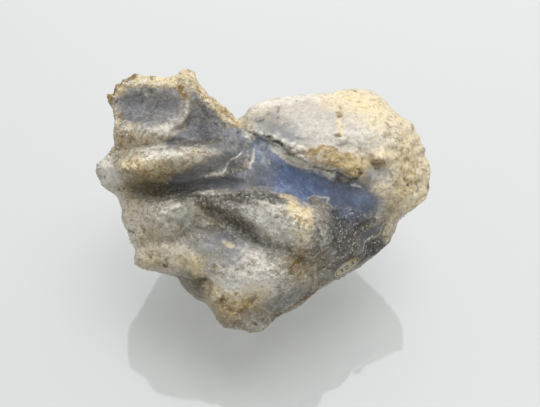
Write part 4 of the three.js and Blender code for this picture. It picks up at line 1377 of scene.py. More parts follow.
@dataclass(frozen=True)
class HiddenCoat:
    """A tint of the hidden sides, which rises from 0 to full strength over a drift."""

    drift: Drift
    strength: float
    low: float
    high: float
    off_lobe: bool = False


HIDDEN_COATS = {
    Tint.PALE: HiddenCoat(Drift.PATCHES, 0.6, -0.1, 0.5),
    Tint.AGATE: HiddenCoat(Drift.VEINS, 0.6, -0.1, 0.8, off_lobe=True),
    Tint.ASH_AND_SHADE: HiddenCoat(Drift.VEINS, 0.5, -0.1, -0.6, off_lobe=True),
    Tint.TAN: HiddenCoat(Drift.PATCHES, 0.5, 0.3, -0.8),
    Tint.RUST: HiddenCoat(Drift.CROSSINGS, 0.5, 0.08, 0.3),
    Tint.CREAM: HiddenCoat(Drift.PATCHES, 0.6, -0.15, -0.6),
    Tint.DARK: HiddenCoat(Drift.VEINS, 0.4, -0.45, -0.8),
}


@dataclass(frozen=True)
class Tinting:
    """How the tints lie on the stone: noise sizes in mm, strengths from 0 to 1."""

    wander: float = 0.9
    wander_size: float = 3.4
    patch_size: float = 6.5
    vein_size: float = 11.0
    hidden_lobe: tuple[float, float] = (22.0, 34.0)
    hidden_rest: tuple[float, float] = (24.0, 36.0)
    hidden_lean: float = 0.3
    hidden_wander: float = 4.0
    left_pale: float = 0.25
    left_pale_rise: tuple[float, float] = (-0.1, 0.5)
    left_tan: float = 0.35
    left_tan_rise: tuple[float, float] = (0.1, -0.5)
    # ash-grey on the dark face and in the recess under the left flank, partly painted shade
    dark_face_ash_and_shade: float = 0.96
    ash_under_tan: float = 0.6
    ash_under_agate: float = 0.85
    ash_under_flake: float = 0.65
    recess_ash_and_shade: float = 0.85
    recess_rise: tuple[float, float] = (-27.0, -21.0)
    smooth_agate: float = 0.9
    smooth_lobe: float = 0.5
    smooth_patch: float = 0.6

    def drifts(self, points: Array) -> dict[Drift, Array]:
        """The noises that tints follow.

        Args:
            points: The surface, in mm.

        Returns:
            Each noise at each point.
        """
        patches = Lumps(self.patch_size, 61, octaves=3).at(points)
        veins = Lumps(self.vein_size, 83, octaves=3).at(points)
        return {Drift.PATCHES: patches, Drift.VEINS: veins, Drift.CROSSINGS: patches * veins}

    def hidden(self, points: Array, share: Array, drifts: dict[Drift, Array]
               ) -> dict[Tint, Array]:
        """Strength of the tints of the hidden sides.

        Args:
            points: The surface, in mm.
            share: 1 on the hidden sides and 0 on the showing one.
            drifts: The noises that the tints follow.

        Returns:
            A layer for each tint that the hidden sides have.
        """
        along = (points[:, 0] + self.hidden_lean * points[:, 2]
                 + self.hidden_wander * drifts[Drift.PATCHES])
        off_lobe = share * (1.0 - smooth_step(along, *self.hidden_rest))
        layers = {Tint.LOBE: share * smooth_step(along, *self.hidden_lobe)}
        for tint, coat in HIDDEN_COATS.items():
            layers[tint] = (coat.strength * (off_lobe if coat.off_lobe else share)
                            * smooth_step(drifts[coat.drift], coat.low, coat.high))
        return layers

    def layers(self, points: Array, u: Array, v: Array, showing: Array,
               left: Array) -> dict[Tint, Array]:
        """Strength of each tint at each point.

        Args:
            points: The surface, in mm.
            u: Places across the showing side.
            v: Places up the showing side.
            showing: 1 on the showing side and 0 on the hidden ones.
            left: 1 on the left block of the front and 0 elsewhere.

        Returns:
            One layer for each tint.
        """
        drifts = self.drifts(points)
        wander_u, wander_v = (
            along + self.wander * Lumps(self.wander_size, seed, octaves=3).at(points)
            for along, seed in ((u, 31), (v, 47)))
        layers = {}
        for tint in Tint:
            clear = np.ones(len(points))
            for patch in PATCHES.get(tint, ()):
                clear *= 1.0 - np.clip(patch.cover(wander_u, wander_v), 0.0, 1.0)
            layers[tint] = (1.0 - clear) * showing
        hidden = self.hidden(points, 1.0 - showing, drifts)

        def raise_to(tint: Tint, *least: Array) -> None:
            """Raises a tint to its strength on the hidden sides and to other strengths."""
            layers[tint] = np.maximum.reduce([layers[tint], hidden[tint], *least])

        lobe = LOBE.cover(wander_u, wander_v) * showing
        dark_face = LOWER_FACE.cover(wander_u, wander_v) * showing
        raise_to(Tint.LOBE, lobe)
        raise_to(Tint.PALE, self.left_pale * left * showing
                 * smooth_step(drifts[Drift.PATCHES], *self.left_pale_rise)
                 * (1.0 - layers[Tint.AGATE]))
        raise_to(Tint.AGATE, showing * (1.0 - left) * (1.0 - lobe) * (1.0 - dark_face))
        # The dark face, and the recess towards its top under the left flank, get ash-grey that is
        # partly painted shade.
        raise_to(Tint.ASH_AND_SHADE,
                 self.dark_face_ash_and_shade * dark_face * (1.0 - lobe)
                 * (1.0 - self.ash_under_tan * layers[Tint.TAN])
                 * (1.0 - self.ash_under_agate * layers[Tint.AGATE])
                 * (1.0 - self.ash_under_flake * FLAKE.cover(u, v)),
                 self.recess_ash_and_shade * RECESS.cover(u, v) * showing
                 * smooth_step(v, *self.recess_rise))
        raise_to(Tint.TAN, self.left_tan * left * showing
                 * smooth_step(drifts[Drift.VEINS], *self.left_tan_rise)
                 * (1.0 - layers[Tint.AGATE]) * (1.0 - layers[Tint.PALE]))
        for tint in (Tint.RUST, Tint.CREAM, Tint.DARK):
            raise_to(tint)
        glassy = np.maximum.reduce([layers[Tint.AGATE], layers[Tint.BLUE], layers[Tint.MOSS]])
        layers[Tint.GRIT] = np.clip(
            1.0 - self.smooth_agate * glassy - self.smooth_lobe * lobe
            - self.smooth_patch * layers[Tint.GRIT], 0.0, 1.0)
        return layers


@dataclass(frozen=True)
class Roughness:
    """Fine relief: lumps, crystal grains, ripples of the break and folds of the lobe."""

    lumps: Lumps = Lumps(2.6, 101, octaves=3)
    lump_height: float = 0.34
    lumps_where_smooth: float = 0.3
    grains: tuple[Grains, ...] = (Grains(1.5, 0.14, 0.12, 5), Grains(0.8, 0.06, 0.07, 9))
    break_ripples: Ripples = Ripples(0.42, -64.0, 5.0, 1.3, 211)
    lobe_ripples: Ripples = Ripples(0.16, -4.0, 7.0, 1.1, 223)
    crust_ripples: tuple[Ripples, ...] = (Ripples(0.24, 80.0, 3.6, 1.9, 227),
                                          Ripples(0.26, 35.0, 2.8, 1.7, 229))
    crust_lean: float = 0.5
    crust_rise: tuple[float, float] = (30.0, 42.0)

    def height(self, points: Array, u: Array, v: Array, tints: dict[Tint, Array]) -> Array:
        """Height of the fine relief.

        Args:
            points: The surface, in mm.
            u: Places across the showing side.
            v: Places up the showing side.
            tints: Strength of each tint at each point.

        Returns:
            Heights, in mm.
        """
        grit, lobe = tints[Tint.GRIT], tints[Tint.LOBE]
        smooth = self.lumps_where_smooth
        height = self.lump_height * self.lumps.at(points) * (smooth + (1.0 - smooth) * grit)
        for grains in self.grains:
            height += grit * grains.at(points)
        height += tints[Tint.BLUE] * self.break_ripples.at(u, v)
        crust = lobe * smooth_step(u + self.crust_lean * v, *self.crust_rise)
        height += (lobe - crust) * self.lobe_ripples.at(u, v)
        return height + crust * sum(ripples.at(u, v) for ripples in self.crust_ripples)


@dataclass
class StoneForm:
    """The stone's surface: main form, then ledges and pits, then lumps and grains."""

    steps: int = 99
    front_share: float = 0.66
    waist_w: float = 4.0
    back_w: float = -32.5
    rim_squareness: float = 6.0
    rim_turn: float = 0.4
    heart: tuple[float, float, float] = (0.0, 2.0, 31.0)
    wide_lumps: Lumps = Lumps(9.0, 1)
    small_lumps: Lumps = Lumps(4.2, 2)
    small_share: float = 0.5
    front_lumps: float = 0.35
    rim_fade: tuple[float, float] = (-0.012, 0.004)
    relief: FrontRelief = FrontRelief()
    tinting: Tinting = Tinting()
    roughness: Roughness = Roughness()
    points: Array = field(init=False)
    triangles: Array = field(init=False)
    tints: dict[Tint, Array] = field(init=False)

    def __post_init__(self) -> None:
        """Works out the surface and its tints."""
        directions, self.triangles = sphere_mesh(self.steps)
        front, spread, u, v, rim_w = self.spread_out(directions)
        waist = self.waist_w + (rim_w - self.waist_w) * spread ** 2
        opened = np.clip(1.0 - spread ** self.rim_squareness, 0.0, 1.0) ** self.rim_turn
        sheet, left = self.relief.depth(u, v)
        sheet = np.where(front, sheet, self.back_w)
        points = SIDE.place(u, v, waist + (sheet - waist) * opened)
        for face in BROKEN_FACES:
            points = face.break_off(points)
        lumps = self.wide_lumps.at(points) + self.small_share * self.small_lumps.at(points)
        away = unit(points - np.array(self.heart))
        points = points + (lumps * np.where(front, self.front_lumps, 1.0))[:, None] * away
        showing = smooth_step(np.where(front, 1.0, -1.0) * (1.0 - spread), *self.rim_fade)
        self.tints = self.tinting.layers(points, u, v, showing, left)
        normals = mesh_normals(points, self.triangles)
        seat_share, _ = SEAT.share(points)
        height = self.roughness.height(points, u, v, self.tints) * (1.0 - seat_share)
        points = SEAT.flatten(points + height[:, None] * normals)
        points[:, 2] = np.maximum(points[:, 2], 0.0)
        self.points = points

    def spread_out(self, directions: Array) -> tuple[Array, Array, Array, Array, Array]:
        """Lays a sphere over the showing side and round behind it.

        Args:
            directions: The sphere's points.

        Returns:
            Which points are on the front, how near each is to the rim from 0 to 1, their
            places across and up the side, and the depth of the rim beside them.
        """
        x, y, z = directions.T
        border = 1.0 - 2.0 * self.front_share
        front = z >= border
        reach = np.where(front, (1.0 - z) / (1.0 - border), (1.0 + z) / (1.0 + border))
        spread = np.sqrt(np.clip(reach, 0.0, 1.0))
        spread = 0.5 * spread + 0.5 * np.sin(spread * math.pi / 2)
        rim = outline_at((np.arctan2(y, x) / (2 * math.pi)) % 1.0)
        u = HUB[0] + (rim[:, 0] - HUB[0]) * spread
        v = HUB[1] + (rim[:, 1] - HUB[1]) * spread
        return front, spread, u, v, rim[:, 2]


# ------------------------------------------------------------------ shader maths

class Value:
    """A number that varies over a surface, for use in Python expressions."""

    def __init__(self, graph: "Graph", socket: bpy.types.NodeSocket) -> None:
        """Wraps a socket of the graph."""
        self.graph = graph
        self.socket = socket

    def math(self, operation: str, *terms: "Value | float") -> "Value":
        """The value of one Math node.

        Args:
            operation: The node's operation.
            terms: Values or numbers, in the node's order.

        Returns:
            The node's result.
        """
        node = self.graph.node("ShaderNodeMath", {"operation": operation},
                               dict(enumerate(terms)))
        return Value(self.graph, node.outputs[0])

    def __add__(self, other: "Value | float") -> "Value":
        """Sum."""
        return self.math("ADD", self, other)

    def __radd__(self, other: float) -> "Value":
        """Sum, from the right."""
        return self.math("ADD", other, self)

    def __sub__(self, other: "Value | float") -> "Value":
        """Difference."""
        return self.math("SUBTRACT", self, other)

    def __rsub__(self, other: float) -> "Value":
        """Difference, from the right."""
        return self.math("SUBTRACT", other, self)

    def __mul__(self, other: "Value | float") -> "Value":
        """Product."""
        return self.math("MULTIPLY", self, other)

    def __rmul__(self, other: float) -> "Value":
        """Product, from the right."""
        return self.math("MULTIPLY", other, self)

    def clamped(self) -> "Value":
        """The value kept between 0 and 1."""
        return self.math("MAXIMUM", 0.0, self.math("MINIMUM", 1.0, self))

    def step(self, low: float, high: float) -> "Value":
        """Soft rise from 0 at low to 1 at high."""
        node = self.graph.node("ShaderNodeMapRange", {"interpolation_type": "SMOOTHSTEP"},
                               {"Value": self, "From Min": low, "From Max": high})
        return Value(self.graph, node.outputs["Result"])


class Graph:
    """The nodes of one material, or of the world."""

    def __init__(self, owner: bpy.types.Material | bpy.types.World,
                 coordinates: str = "Object") -> None:
        """Starts with no nodes.

        Args:
            owner: The material or the world that the nodes belong to.
            coordinates: Which texture coordinates places are read from.
        """
        self.owner = owner
        owner.use_nodes = True
        self.tree = owner.node_tree
        self.tree.nodes.clear()
        self.place = self.node("ShaderNodeTexCoord").outputs[coordinates]

    def node(self, kind: str, settings: dict[str, object] | None = None,
             inputs: dict[str | int, object] | None = None) -> bpy.types.Node:
        """Adds a node.

        Args:
            kind: The node's type.
            settings: The node's own settings, which are made first.
            inputs: Values, colours or links for its sockets, by name or number.

        Returns:
            The node.
        """
        node = self.tree.nodes.new(kind)
        for name, setting in (settings or {}).items():
            setattr(node, name, setting)
        for name, given in (inputs or {}).items():
            source = given.socket if isinstance(given, Value) else given
            if isinstance(source, bpy.types.NodeSocket):
                self.tree.links.new(source, node.inputs[name])
            else:
                node.inputs[name].default_value = source
        return node

    def layer(self, name: str) -> Value:
        """A layer of the mesh, by its name."""
        node = self.node("ShaderNodeAttribute", {"attribute_name": name})
        return Value(self, node.outputs["Fac"])

    def cloud(self, size: float, detail: float = 3.0, rough: float = 0.5,
              warp: float = 0.0) -> Value:
        """Smooth cloudy noise around 0.5.

        Args:
            size: Size of its largest lumps, in mm.
            detail: Layers of finer lumps.
            rough: How strong the finer layers are.
            warp: How far the lumps are pulled about.

        Returns:
            The noise.
        """
        node = self.node("ShaderNodeTexNoise", {"noise_dimensions": "3D"},
                         {"Vector": self.place, "Scale": 1.0 / (size * MM),
                          "Detail": detail, "Roughness": rough, "Distortion": warp})
        return Value(self, node.outputs["Fac"])

    def grain_node(self, size: float) -> bpy.types.Node:
        """A node of packed grains, whose size is in mm."""
        return self.node("ShaderNodeTexVoronoi", {"feature": "F1"},
                         {"Vector": self.place, "Scale": 1.0 / (size * MM)})

    def grains(self, size: float) -> tuple[Value, Value]:
        """Packed grains.

        Args:
            size: Size of a grain, in mm.

        Returns:
            The distance from the grain's middle, and a value from 0 to 1 that each grain has
            of its own.
        """
        node = self.grain_node(size)
        mark = self.node("ShaderNodeSeparateColor", inputs={"Color": node.outputs["Color"]})
        return Value(self, node.outputs["Distance"]), Value(self, mark.outputs[0])

    def mix(self, share: Value | float, under: Colour | bpy.types.NodeSocket,
            over: Colour | bpy.types.NodeSocket) -> bpy.types.NodeSocket:
        """One colour over another.

        Args:
            share: How much of the upper colour shows.
            under: The lower colour.
            over: The upper colour.

        Returns:
            The mixed colour.
        """
        under, over = (c if isinstance(c, bpy.types.NodeSocket) else (*c, 1.0)
                       for c in (under, over))
        node = self.node("ShaderNodeMix", {"data_type": "RGBA", "blend_type": "MIX"},
                         {0: share, 6: under, 7: over})
        return node.outputs[2]

    def bump(self, height: Value, distance: float,
             below: bpy.types.NodeSocket | None = None) -> bpy.types.NodeSocket:
        """Relief in the surface's normals.

        Args:
            height: Heights as shares of the distance.
            distance: Height in mm that a value of 1 stands for.
            below: Normals of a coarser relief under this one.

        Returns:
            The new normals.
        """
        inputs = {"Height": height, "Distance": distance * MM}
        if below is not None:
            inputs["Normal"] = below
        return self.node("ShaderNodeBump", inputs=inputs).outputs["Normal"]

    def vector(self, operation: str, **terms: object) -> bpy.types.NodeSocket:
        """The vector of one Vector Math node.

        Args:
            operation: The node's operation.
            terms: Vectors a and b, or a vector a and a scale.

        Returns:
            The node's result.
        """
        sockets = {"a": 0, "b": 1, "scale": "Scale"}
        return self.node("ShaderNodeVectorMath", {"operation": operation},
                         {sockets[name]: term for name, term in terms.items()}).outputs[0]

    def facets(self, size: float, tilt: Value,
               below: bpy.types.NodeSocket) -> bpy.types.NodeSocket:
        """Normals that differ from grain to grain, as small crystal faces do.

        Args:
            size: Size of a grain, in mm.
            tilt: How far the faces lean.
            below: Normals of the relief that the grains sit on.

        Returns:
            The new normals.
        """
        lean = self.vector("SUBTRACT", a=self.grain_node(size).outputs["Color"],
                           b=(0.5, 0.5, 0.5))
        lean = self.vector("SCALE", a=lean, scale=tilt)
        return self.vector("NORMALIZE", a=self.vector("ADD", a=below, b=lean))

    def skin(self, colour: Colour | bpy.types.NodeSocket, roughness: Value | float,
             **others: object) -> bpy.types.NodeSocket:
        """A Principled surface.

        Args:
            colour: Its colour.
            roughness: Its roughness.
            others: Values for other sockets, whose names have _ for each space.

        Returns:
            The surface.
        """
        colour = colour if isinstance(colour, bpy.types.NodeSocket) else (*colour, 1.0)
        inputs = {"Base Color": colour, "Roughness": roughness}
        inputs.update({name.replace("_", " "): given for name, given in others.items()})
        return self.node("ShaderNodeBsdfPrincipled", inputs=inputs).outputs[0]

    def finish(self, surface: bpy.types.NodeSocket) -> bpy.types.Material | bpy.types.World:
        """Closes the nodes.

        Args:
            surface: What the output node shows.

        Returns:
            The material or the world that the nodes belong to.
        """
        world = isinstance(self.owner, bpy.types.World)
        self.node("ShaderNodeOutputWorld" if world else "ShaderNodeOutputMaterial",
                  inputs={"Surface": surface})
        return self.owner


# ------------------------------------------------------------------ finishes

@dataclass(frozen=True)
class ChalcedonyFinish:
    """Grey-blue chalcedony with sugary quartz, a white lobe and rusty stains; some of its tints
    are painted shade, and its grains carry painted shade in their gaps and painted glints on their
    crests.
    """

    grey_dark: Colour = (0.37, 0.312, 0.218)
    grey_light: Colour = (0.69, 0.63, 0.52)
    lobe: Colour = (0.60, 0.545, 0.47)
    tan: Colour = (0.62, 0.46, 0.20)
    tan_dark: Colour = (0.38, 0.29, 0.15)
    agate: Colour = (0.178, 0.186, 0.21)
    agate_light: Colour = (0.272, 0.282, 0.308)
    ash: Colour = (0.082, 0.077, 0.068)
    ash_light: Colour = (0.135, 0.13, 0.12)
    moss: Colour = (0.26, 0.258, 0.20)
    blue: Colour = (0.135, 0.19, 0.34)
    blue_light: Colour = (0.245, 0.335, 0.53)
    pale: Colour = (0.88, 0.83, 0.72)
    cream: Colour = (0.93, 0.77, 0.47)
    cream_dark: Colour = (0.68, 0.52, 0.28)
    dark: Colour = (0.09, 0.07, 0.04)
    rust: Colour = (0.40, 0.25, 0.055)
    rust_dark: Colour = (0.17, 0.095, 0.022)
    frost_and_glint: Colour = (0.97, 0.94, 0.88)
    earth_and_shade: Colour = (0.27, 0.21, 0.13)
    glow: Colour = (1.0, 0.9, 0.75)
    # shares of the earth and painted shade in the gaps, of the frost and painted glints on the
    # grains, and what is added on pale crystals
    earth_and_shade_share: float = 0.5
    earth_and_shade_on_pale: float = 0.3
    frost_and_glint_share: float = 0.5
    frost_and_glint_on_pale: float = 0.45
    frost_and_glint_off_ash: float = 0.6
    dot_share: float = 0.7
    # grain sizes and relief in mm; the coarse relief goes inwards
    fine_grain: float = 0.5
    coarse_grain: float = 1.3
    coarse_relief: float = -0.5
    fine_relief: float = 0.3
    facet_tilt: float = 0.9
    waxy: float = 0.34
    sugary: float = 0.5
    grain_sheen: float = 0.35
    scatter: float = 0.25
    scatter_reach: float = 2.0
    specular: float = 0.45
    refraction: float = 1.54

    def material(self) -> bpy.types.Material:
        """Builds the material.

        Returns:
            The stone's material, which reads the mesh's tint layers.
        """
        graph = Graph(bpy.data.materials.new("chalcedony"))
        tint = {name: graph.layer(name.value) for name in Tint}
        grit = tint[Tint.GRIT]
        fine, fine_mark = graph.grains(self.fine_grain)
        coarse, coarse_mark = graph.grains(self.coarse_grain)
        cloud = graph.cloud(3.5, detail=5.0, rough=0.62, warp=0.3)
        crumb = graph.cloud(1.5, detail=4.0, rough=0.62, warp=0.6)
        speck = graph.cloud(0.8, detail=3.0, rough=0.65)
        wide = graph.cloud(11.0, detail=4.0, rough=0.55)

        def two(noise: Value, low: float, high: float, under: Colour,
                over: Colour) -> bpy.types.NodeSocket:
            """Two shades that change over the noise."""
            return graph.mix(noise.step(low, high), under, over)

        light = (cloud * 1.2 + crumb * 0.9 + fine_mark * 0.25 - 0.68).step(0.0, 0.9)
        colour = graph.mix(light, self.grey_dark, self.grey_light)
        coats = (
            (Tint.LOBE, cloud, 0.3, self.lobe),
            (Tint.TAN, crumb, 0.5, two(speck, 0.35, 0.6, self.tan_dark, self.tan)),
            (Tint.AGATE, cloud, 0.28, two(wide, 0.35, 0.65, self.agate, self.agate_light)),
            (Tint.ASH_AND_SHADE, crumb, 0.36,
             two(coarse_mark * 0.4 + speck, 0.6, 1.1, self.ash, self.ash_light)),
            (Tint.MOSS, cloud, 0.3, self.moss),
            (Tint.BLUE, cloud, 0.2, two(cloud, 0.4, 0.72, self.blue, self.blue_light)),
            (Tint.PALE, crumb, 0.6, self.pale),
            (Tint.CREAM, crumb, 0.45,
             two(crumb * 0.5 + speck * 0.5, 0.38, 0.52, self.cream_dark, self.cream)),
            (Tint.DARK, speck, 0.6, self.dark),
            (Tint.RUST, speck, 0.9, two(crumb, 0.4, 0.6, self.rust_dark, self.rust)),
        )
        for name, noise, ragged, coat in coats:
            colour = graph.mix(self.patch(tint[name], noise, ragged), colour, coat)
        # Painted shade, with some real brown earth: the gaps between grains are darkened towards
        # warm brown.
        gaps = (1.0 - crumb * 0.5 - speck * 0.5).step(0.53, 0.64) * grit
        earth_and_shade_cover = gaps * (tint[Tint.PALE] * self.earth_and_shade_on_pale + self.earth_and_shade_share)
        colour = graph.mix(earth_and_shade_cover, colour, self.earth_and_shade)
        # Painted glints, with some real frosty white: the crests of the grains turn near white,
        # less on the ash-grey.
        crests = (fine_mark * 0.5 + speck * 0.5).step(0.6, 0.76) * (grit * 0.85 + 0.15)
        crests = crests * (1.0 - tint[Tint.ASH_AND_SHADE] * self.frost_and_glint_off_ash)
        frost_and_glint_cover = crests * (tint[Tint.PALE] * self.frost_and_glint_on_pale + self.frost_and_glint_share)
        colour = graph.mix(frost_and_glint_cover, colour, self.frost_and_glint)
        # White dots on the ash-grey and blue: partly real white specks, partly painted glints.
        dots = (1.0 - fine.step(0.25, 0.5)) * fine_mark.step(0.62, 0.8) * crumb.step(0.4, 0.58)
        dotted = (tint[Tint.ASH_AND_SHADE] - tint[Tint.AGATE] * 0.6 + tint[Tint.BLUE] * 0.25).clamped()
        colour = graph.mix(dots * dotted * self.dot_share, colour, self.frost_and_glint)

        rough = (self.waxy + grit * (self.sugary - self.waxy)
                 + (fine_mark - 0.5) * self.grain_sheen * grit)
        relief = graph.bump(coarse * grit * 0.5 - cloud * 0.5 - crumb * (0.2 + grit),
                            self.coarse_relief)
        relief = graph.bump(speck * (0.2 + grit) - fine * grit * 0.4, self.fine_relief, relief)
        relief = graph.facets(self.fine_grain, grit * self.facet_tilt, relief)
        return graph.finish(graph.skin(
            colour, rough, Normal=relief, Subsurface_Weight=self.scatter,
            Subsurface_Radius=self.glow, Subsurface_Scale=self.scatter_reach * MM,
            Specular_IOR_Level=self.specular, IOR=self.refraction))

    @staticmethod
    def patch(mask: Value, noise: Value, ragged: float) -> Value:
        """Breaks up the edges of a mask.

        Args:
            mask: The mask.
            noise: The noise that its half-strength parts break up into.
            ragged: How far they do.

        Returns:
            The ragged mask.
        """
        return (mask + (noise - 0.5) * mask * (1.0 - mask) * (16.0 * ragged)).clamped()


@dataclass(frozen=True)
class LabelPaperFinish:
    """Old cream paper with a printed ring and an inked number."""

    paper: Colour = (0.62, 0.55, 0.40)
    aged: Colour = (0.38, 0.27, 0.12)
    ink: Colour = (0.035, 0.03, 0.03)
    fibre_relief: float = 0.05
    roughness: float = 0.6
    fibre_roughness: float = 0.25

    def material(self) -> bpy.types.Material:
        """Builds the material.

        Returns:
            The label's material, which reads the mesh's ink and aging layers.
        """
        graph = Graph(bpy.data.materials.new("label_paper"))
        fibre = graph.cloud(0.25, detail=3.0, rough=0.6)
        stain = graph.cloud(2.6, detail=3.0, rough=0.55)
        aged = (graph.layer("aged") * 0.9 + (stain - 0.5) * 0.9).step(0.1, 0.9)
        colour = graph.mix(aged, self.paper, self.aged)
        colour = graph.mix((graph.layer("ink") - (fibre - 0.5) * 0.7).step(0.3, 0.6),
                           colour, self.ink)
        return graph.finish(graph.skin(colour, self.roughness + fibre * self.fibre_roughness,
                                       Normal=graph.bump(fibre, self.fibre_relief)))


@dataclass(frozen=True)
class TableFinish:
    """Pale glossy table that glows a little, as a lit acrylic sheet does."""

    colour: Colour = (0.285, 0.293, 0.29)
    glow: Colour = (0.297, 0.307, 0.302)
    roughness: float = 0.5
    gloss_roughness: float = 0.06
    gloss_refraction: float = 1.85

    def material(self) -> bpy.types.Material:
        """Builds the material.

        Returns:
            The table's material.
        """
        graph = Graph(bpy.data.materials.new("table"))
        return graph.finish(graph.skin(
            self.colour, self.roughness, Coat_Weight=1.0, Coat_Roughness=self.gloss_roughness,
            Coat_IOR=self.gloss_refraction, Emission_Color=(*self.glow, 1.0),
            Emission_Strength=1.0))


# ------------------------------------------------------------------ pieces

def mesh_object(name: str, points: Array, faces: list[tuple[int, ...]] | Array,
                material: bpy.types.Material, smooth: bool = True) -> bpy.types.Object:
    """Makes an object at the origin from points in mm.

    Args:
        name: Name of the object.
        points: Points in mm, in the CAD's frame.
        faces: Point numbers of each face.
        material: Its material.
        smooth: Whether its faces are shaded smooth.

    Returns:
        The object, in the scene.
    """
    mesh = bpy.data.meshes.new(name)
    faces = faces.tolist() if isinstance(faces, np.ndarray) else faces
    mesh.from_pydata((np.asarray(points) * MM).tolist(), [], faces)
    mesh.materials.append(material)
    mesh.polygons.foreach_set("use_smooth", [smooth] * len(mesh.polygons))
    mesh.update()
    piece = bpy.data.objects.new(name, mesh)
    bpy.context.scene.collection.objects.link(piece)
    return piece


def add_layer(piece: bpy.types.Object, name: str, values: Array) -> None:
    """Adds a layer of one number per point to a piece's mesh."""
    layer = piece.data.attributes.new(name, "FLOAT", "POINT")
    layer.data.foreach_set("value", np.asarray(values, np.float32))


@dataclass
class Stone:
    """The specimen itself."""

    form: StoneForm = field(default_factory=StoneForm)
    finish: ChalcedonyFinish = ChalcedonyFinish()

    def build(self) -> bpy.types.Object:
        """Builds the stone with its tint layers, and hides the CAD solid that it takes the place
        of.

        Returns:
            The stone.
        """
        piece = mesh_object("chalcedony_stone", self.form.points, self.form.triangles,
                            self.finish.material())
        for tint, values in self.form.tints.items():
            add_layer(piece, tint.value, values)
        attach(piece, BODY)
        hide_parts("stone")
        return piece


@dataclass
class NumberLabel:
    """The round paper label with a plain collection number.

    Its radius, thickness, lift and curl are in mm, and what lies on it is in label radii.
    """

    radius: float = 4.0
    thickness: float = 0.18
    lift: float = 0.1
    curl: float = 0.1
    curl_rise: tuple[float, float] = (0.45, 1.1)
    rings: int = 44
    spokes: int = 180
    border: float = 0.86
    border_fade: tuple[float, float] = (0.035, 0.012)
    stroke_fade: tuple[float, float] = (0.06, 0.03)
    aged_rise: tuple[float, float] = (0.35, 1.05)
    turn: float = 12.0
    finish: LabelPaperFinish = LabelPaperFinish()
    # strokes of three plain digits, in label radii: across, up
    strokes: tuple[tuple[tuple[float, float], ...], ...] = (
        ((-0.50, 0.22), (-0.38, 0.34), (-0.38, -0.32)),
        ((-0.16, 0.2), (-0.05, 0.33), (0.09, 0.26), (0.08, 0.08), (-0.16, -0.3), (0.13, -0.3)),
        ((0.31, 0.26), (0.43, 0.34), (0.55, 0.22), (0.41, 0.03), (0.55, -0.14), (0.45, -0.32),
         (0.29, -0.24)),
    )

    def layers(self, across: Array, up: Array) -> tuple[Array, Array]:
        """Ink and aging over the label.

        Args:
            across: Places across it, in radii.
            up: Places up it, in radii.

        Returns:
            Ink and aging, between 0 and 1.
        """
        radius = np.hypot(across, up)
        ink = smooth_step(np.abs(radius - self.border), *self.border_fade)
        for stroke in self.strokes:
            gap, _ = Streak(stroke, 1.0).nearest(*turned(across, up, self.turn))
            ink = np.maximum(ink, smooth_step(gap, *self.stroke_fade))
        return ink, smooth_step(0.6 * across + 0.6 * up + 0.3 * radius, *self.aged_rise)

    def build(self) -> bpy.types.Object:
        """Builds the label, and hides the CAD node that it takes the place of.

        Returns:
            The label.
        """
        out = SEAT.out
        along = unit(SIDE.across - (SIDE.across @ out) * out)
        upward = np.cross(out, along)
        angle = np.arange(self.spokes) * 2 * math.pi / self.spokes
        steps = [*np.linspace(0, 1, self.rings + 1)[1:], 1.0]
        across, up, height = [0.0], [0.0], [1.0]
        for number, step in enumerate(steps):
            across += list(step * np.cos(angle))
            up += list(step * np.sin(angle))
            height += [0.0 if number == len(steps) - 1 else 1.0] * self.spokes
        across, up, height = np.array(across), np.array(up), np.array(height)
        curl = self.curl * smooth_step(across * 0.7 + up * 0.5, *self.curl_rise)
        over = self.lift + self.thickness * height + curl
        points = (SEAT.middle + self.radius * np.outer(across, along)
                  + self.radius * np.outer(up, upward) + np.outer(over, out))
        count = self.spokes
        faces = [(0, 1 + k, 1 + (k + 1) % count) for k in range(count)]
        for ring in range(len(steps) - 1):
            a, b = 1 + ring * count, 1 + (ring + 1) * count
            faces += [(a + k, b + k, b + (k + 1) % count, a + (k + 1) % count)
                      for k in range(count)]
        last = 1 + (len(steps) - 1) * count
        faces.append(tuple(range(last + count - 1, last - 1, -1)))
        piece = mesh_object("paper_label", points, faces, self.finish.material())
        ink, aged = self.layers(across, up)
        add_layer(piece, "ink", ink)
        add_layer(piece, "aged", aged)
        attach(piece, BODY)
        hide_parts("number_label")
        return piece


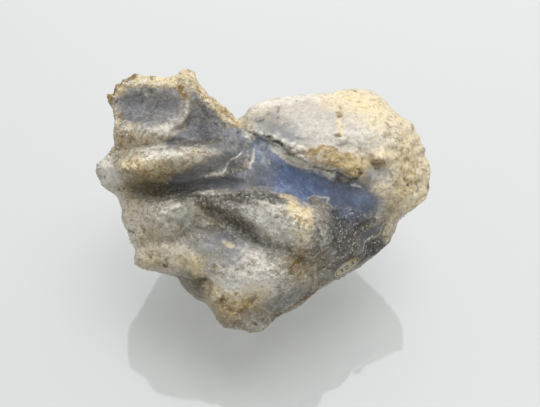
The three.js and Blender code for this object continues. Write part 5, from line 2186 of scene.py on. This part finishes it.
@dataclass
class Studio:
    """Pale table, a soft glow behind, a softbox above and the camera; angles in degrees."""

    table_size: float = 6000.0
    aim: tuple[float, float, float] = (2.0, 0.0, 31.8)
    distance: float = 260.0
    lens: float = 64.2
    sensor: float = 36.0
    near: float = 10.0
    glow_towards: tuple[float, float, float] = (0.08, 0.69, 0.71)
    glow_edge: float = 46.0
    glow_core: float = 14.0
    glow_strength: float = 1.3
    top_place: tuple[float, float, float] = (190.0, 80.0, 880.0)
    top_size: float = 600.0
    top_power: float = 4.2
    sky: Colour = (0.98, 0.99, 1.0)
    sky_strength: float = 0.42

    def build(self) -> None:
        """Builds the table, the lights and the camera."""
        half = self.table_size / 2
        corners = [(-half, -half, 0), (half, -half, 0), (half, half, 0), (-half, half, 0)]
        table = mesh_object("table", corners, [(0, 1, 2, 3)], TableFinish().material(), False)
        self.light("top softbox", self.top_place, self.top_size, self.top_power)
        bpy.context.scene.world = self.world()
        bpy.context.scene.view_settings.view_transform = "Standard"
        self.camera()

    def world(self) -> bpy.types.World:
        """Makes the even sky and the wide soft glow behind the stone.

        Returns:
            The world.
        """
        graph = Graph(bpy.data.worlds.new("studio"), "Generated")
        facing = graph.node("ShaderNodeVectorMath", {"operation": "DOT_PRODUCT"},
                            {0: graph.place, 1: tuple(unit(np.array(self.glow_towards)))})
        glow = Value(graph, facing.outputs["Value"]).step(
            math.cos(math.radians(self.glow_edge)), math.cos(math.radians(self.glow_core)))
        return graph.finish(graph.node("ShaderNodeBackground", inputs={
            "Color": (*self.sky, 1.0),
            "Strength": glow * self.glow_strength + self.sky_strength}).outputs[0])

    def light(self, name: str, place: tuple[float, float, float], size: float,
              power: float) -> None:
        """Hangs a square soft light that faces the stone.

        Args:
            name: Its name.
            place: Where it hangs, in mm.
            size: Length of its sides, in mm.
            power: Its power in watts.
        """
        lamp = bpy.data.lights.new(name, "AREA")
        lamp.size = size * MM
        lamp.energy = power
        holder = bpy.data.objects.new(name, lamp)
        holder.location = Vector(place) * MM
        towards = Vector(self.aim) - Vector(place)
        holder.rotation_euler = towards.to_track_quat("-Z", "Y").to_euler()
        bpy.context.scene.collection.objects.link(holder)

    def camera(self) -> None:
        """Sets up the camera square to the showing side."""
        camera = bpy.data.cameras.new("camera")
        camera.sensor_width = self.sensor
        camera.lens = self.lens
        camera.clip_start = self.near * MM
        holder = bpy.data.objects.new("camera", camera)
        holder.location = (Vector(self.aim) + self.distance * Vector(SIDE.outward)) * MM
        towards = -Vector(SIDE.outward)
        holder.rotation_euler = towards.to_track_quat("-Z", "Y").to_euler()
        bpy.context.scene.collection.objects.link(holder)
        bpy.context.scene.camera = holder


def main() -> None:
    """Builds the specimen and its studio."""
    logging.basicConfig(level=logging.INFO, format="%(message)s")
    Studio().build()
    for part in (Stone(), NumberLabel()):
        piece = part.build()
        LOG.info("%s: %d points, %d faces", piece.name, len(piece.data.vertices),
                 len(piece.data.polygons))


if __name__ == "__main__":
    main()
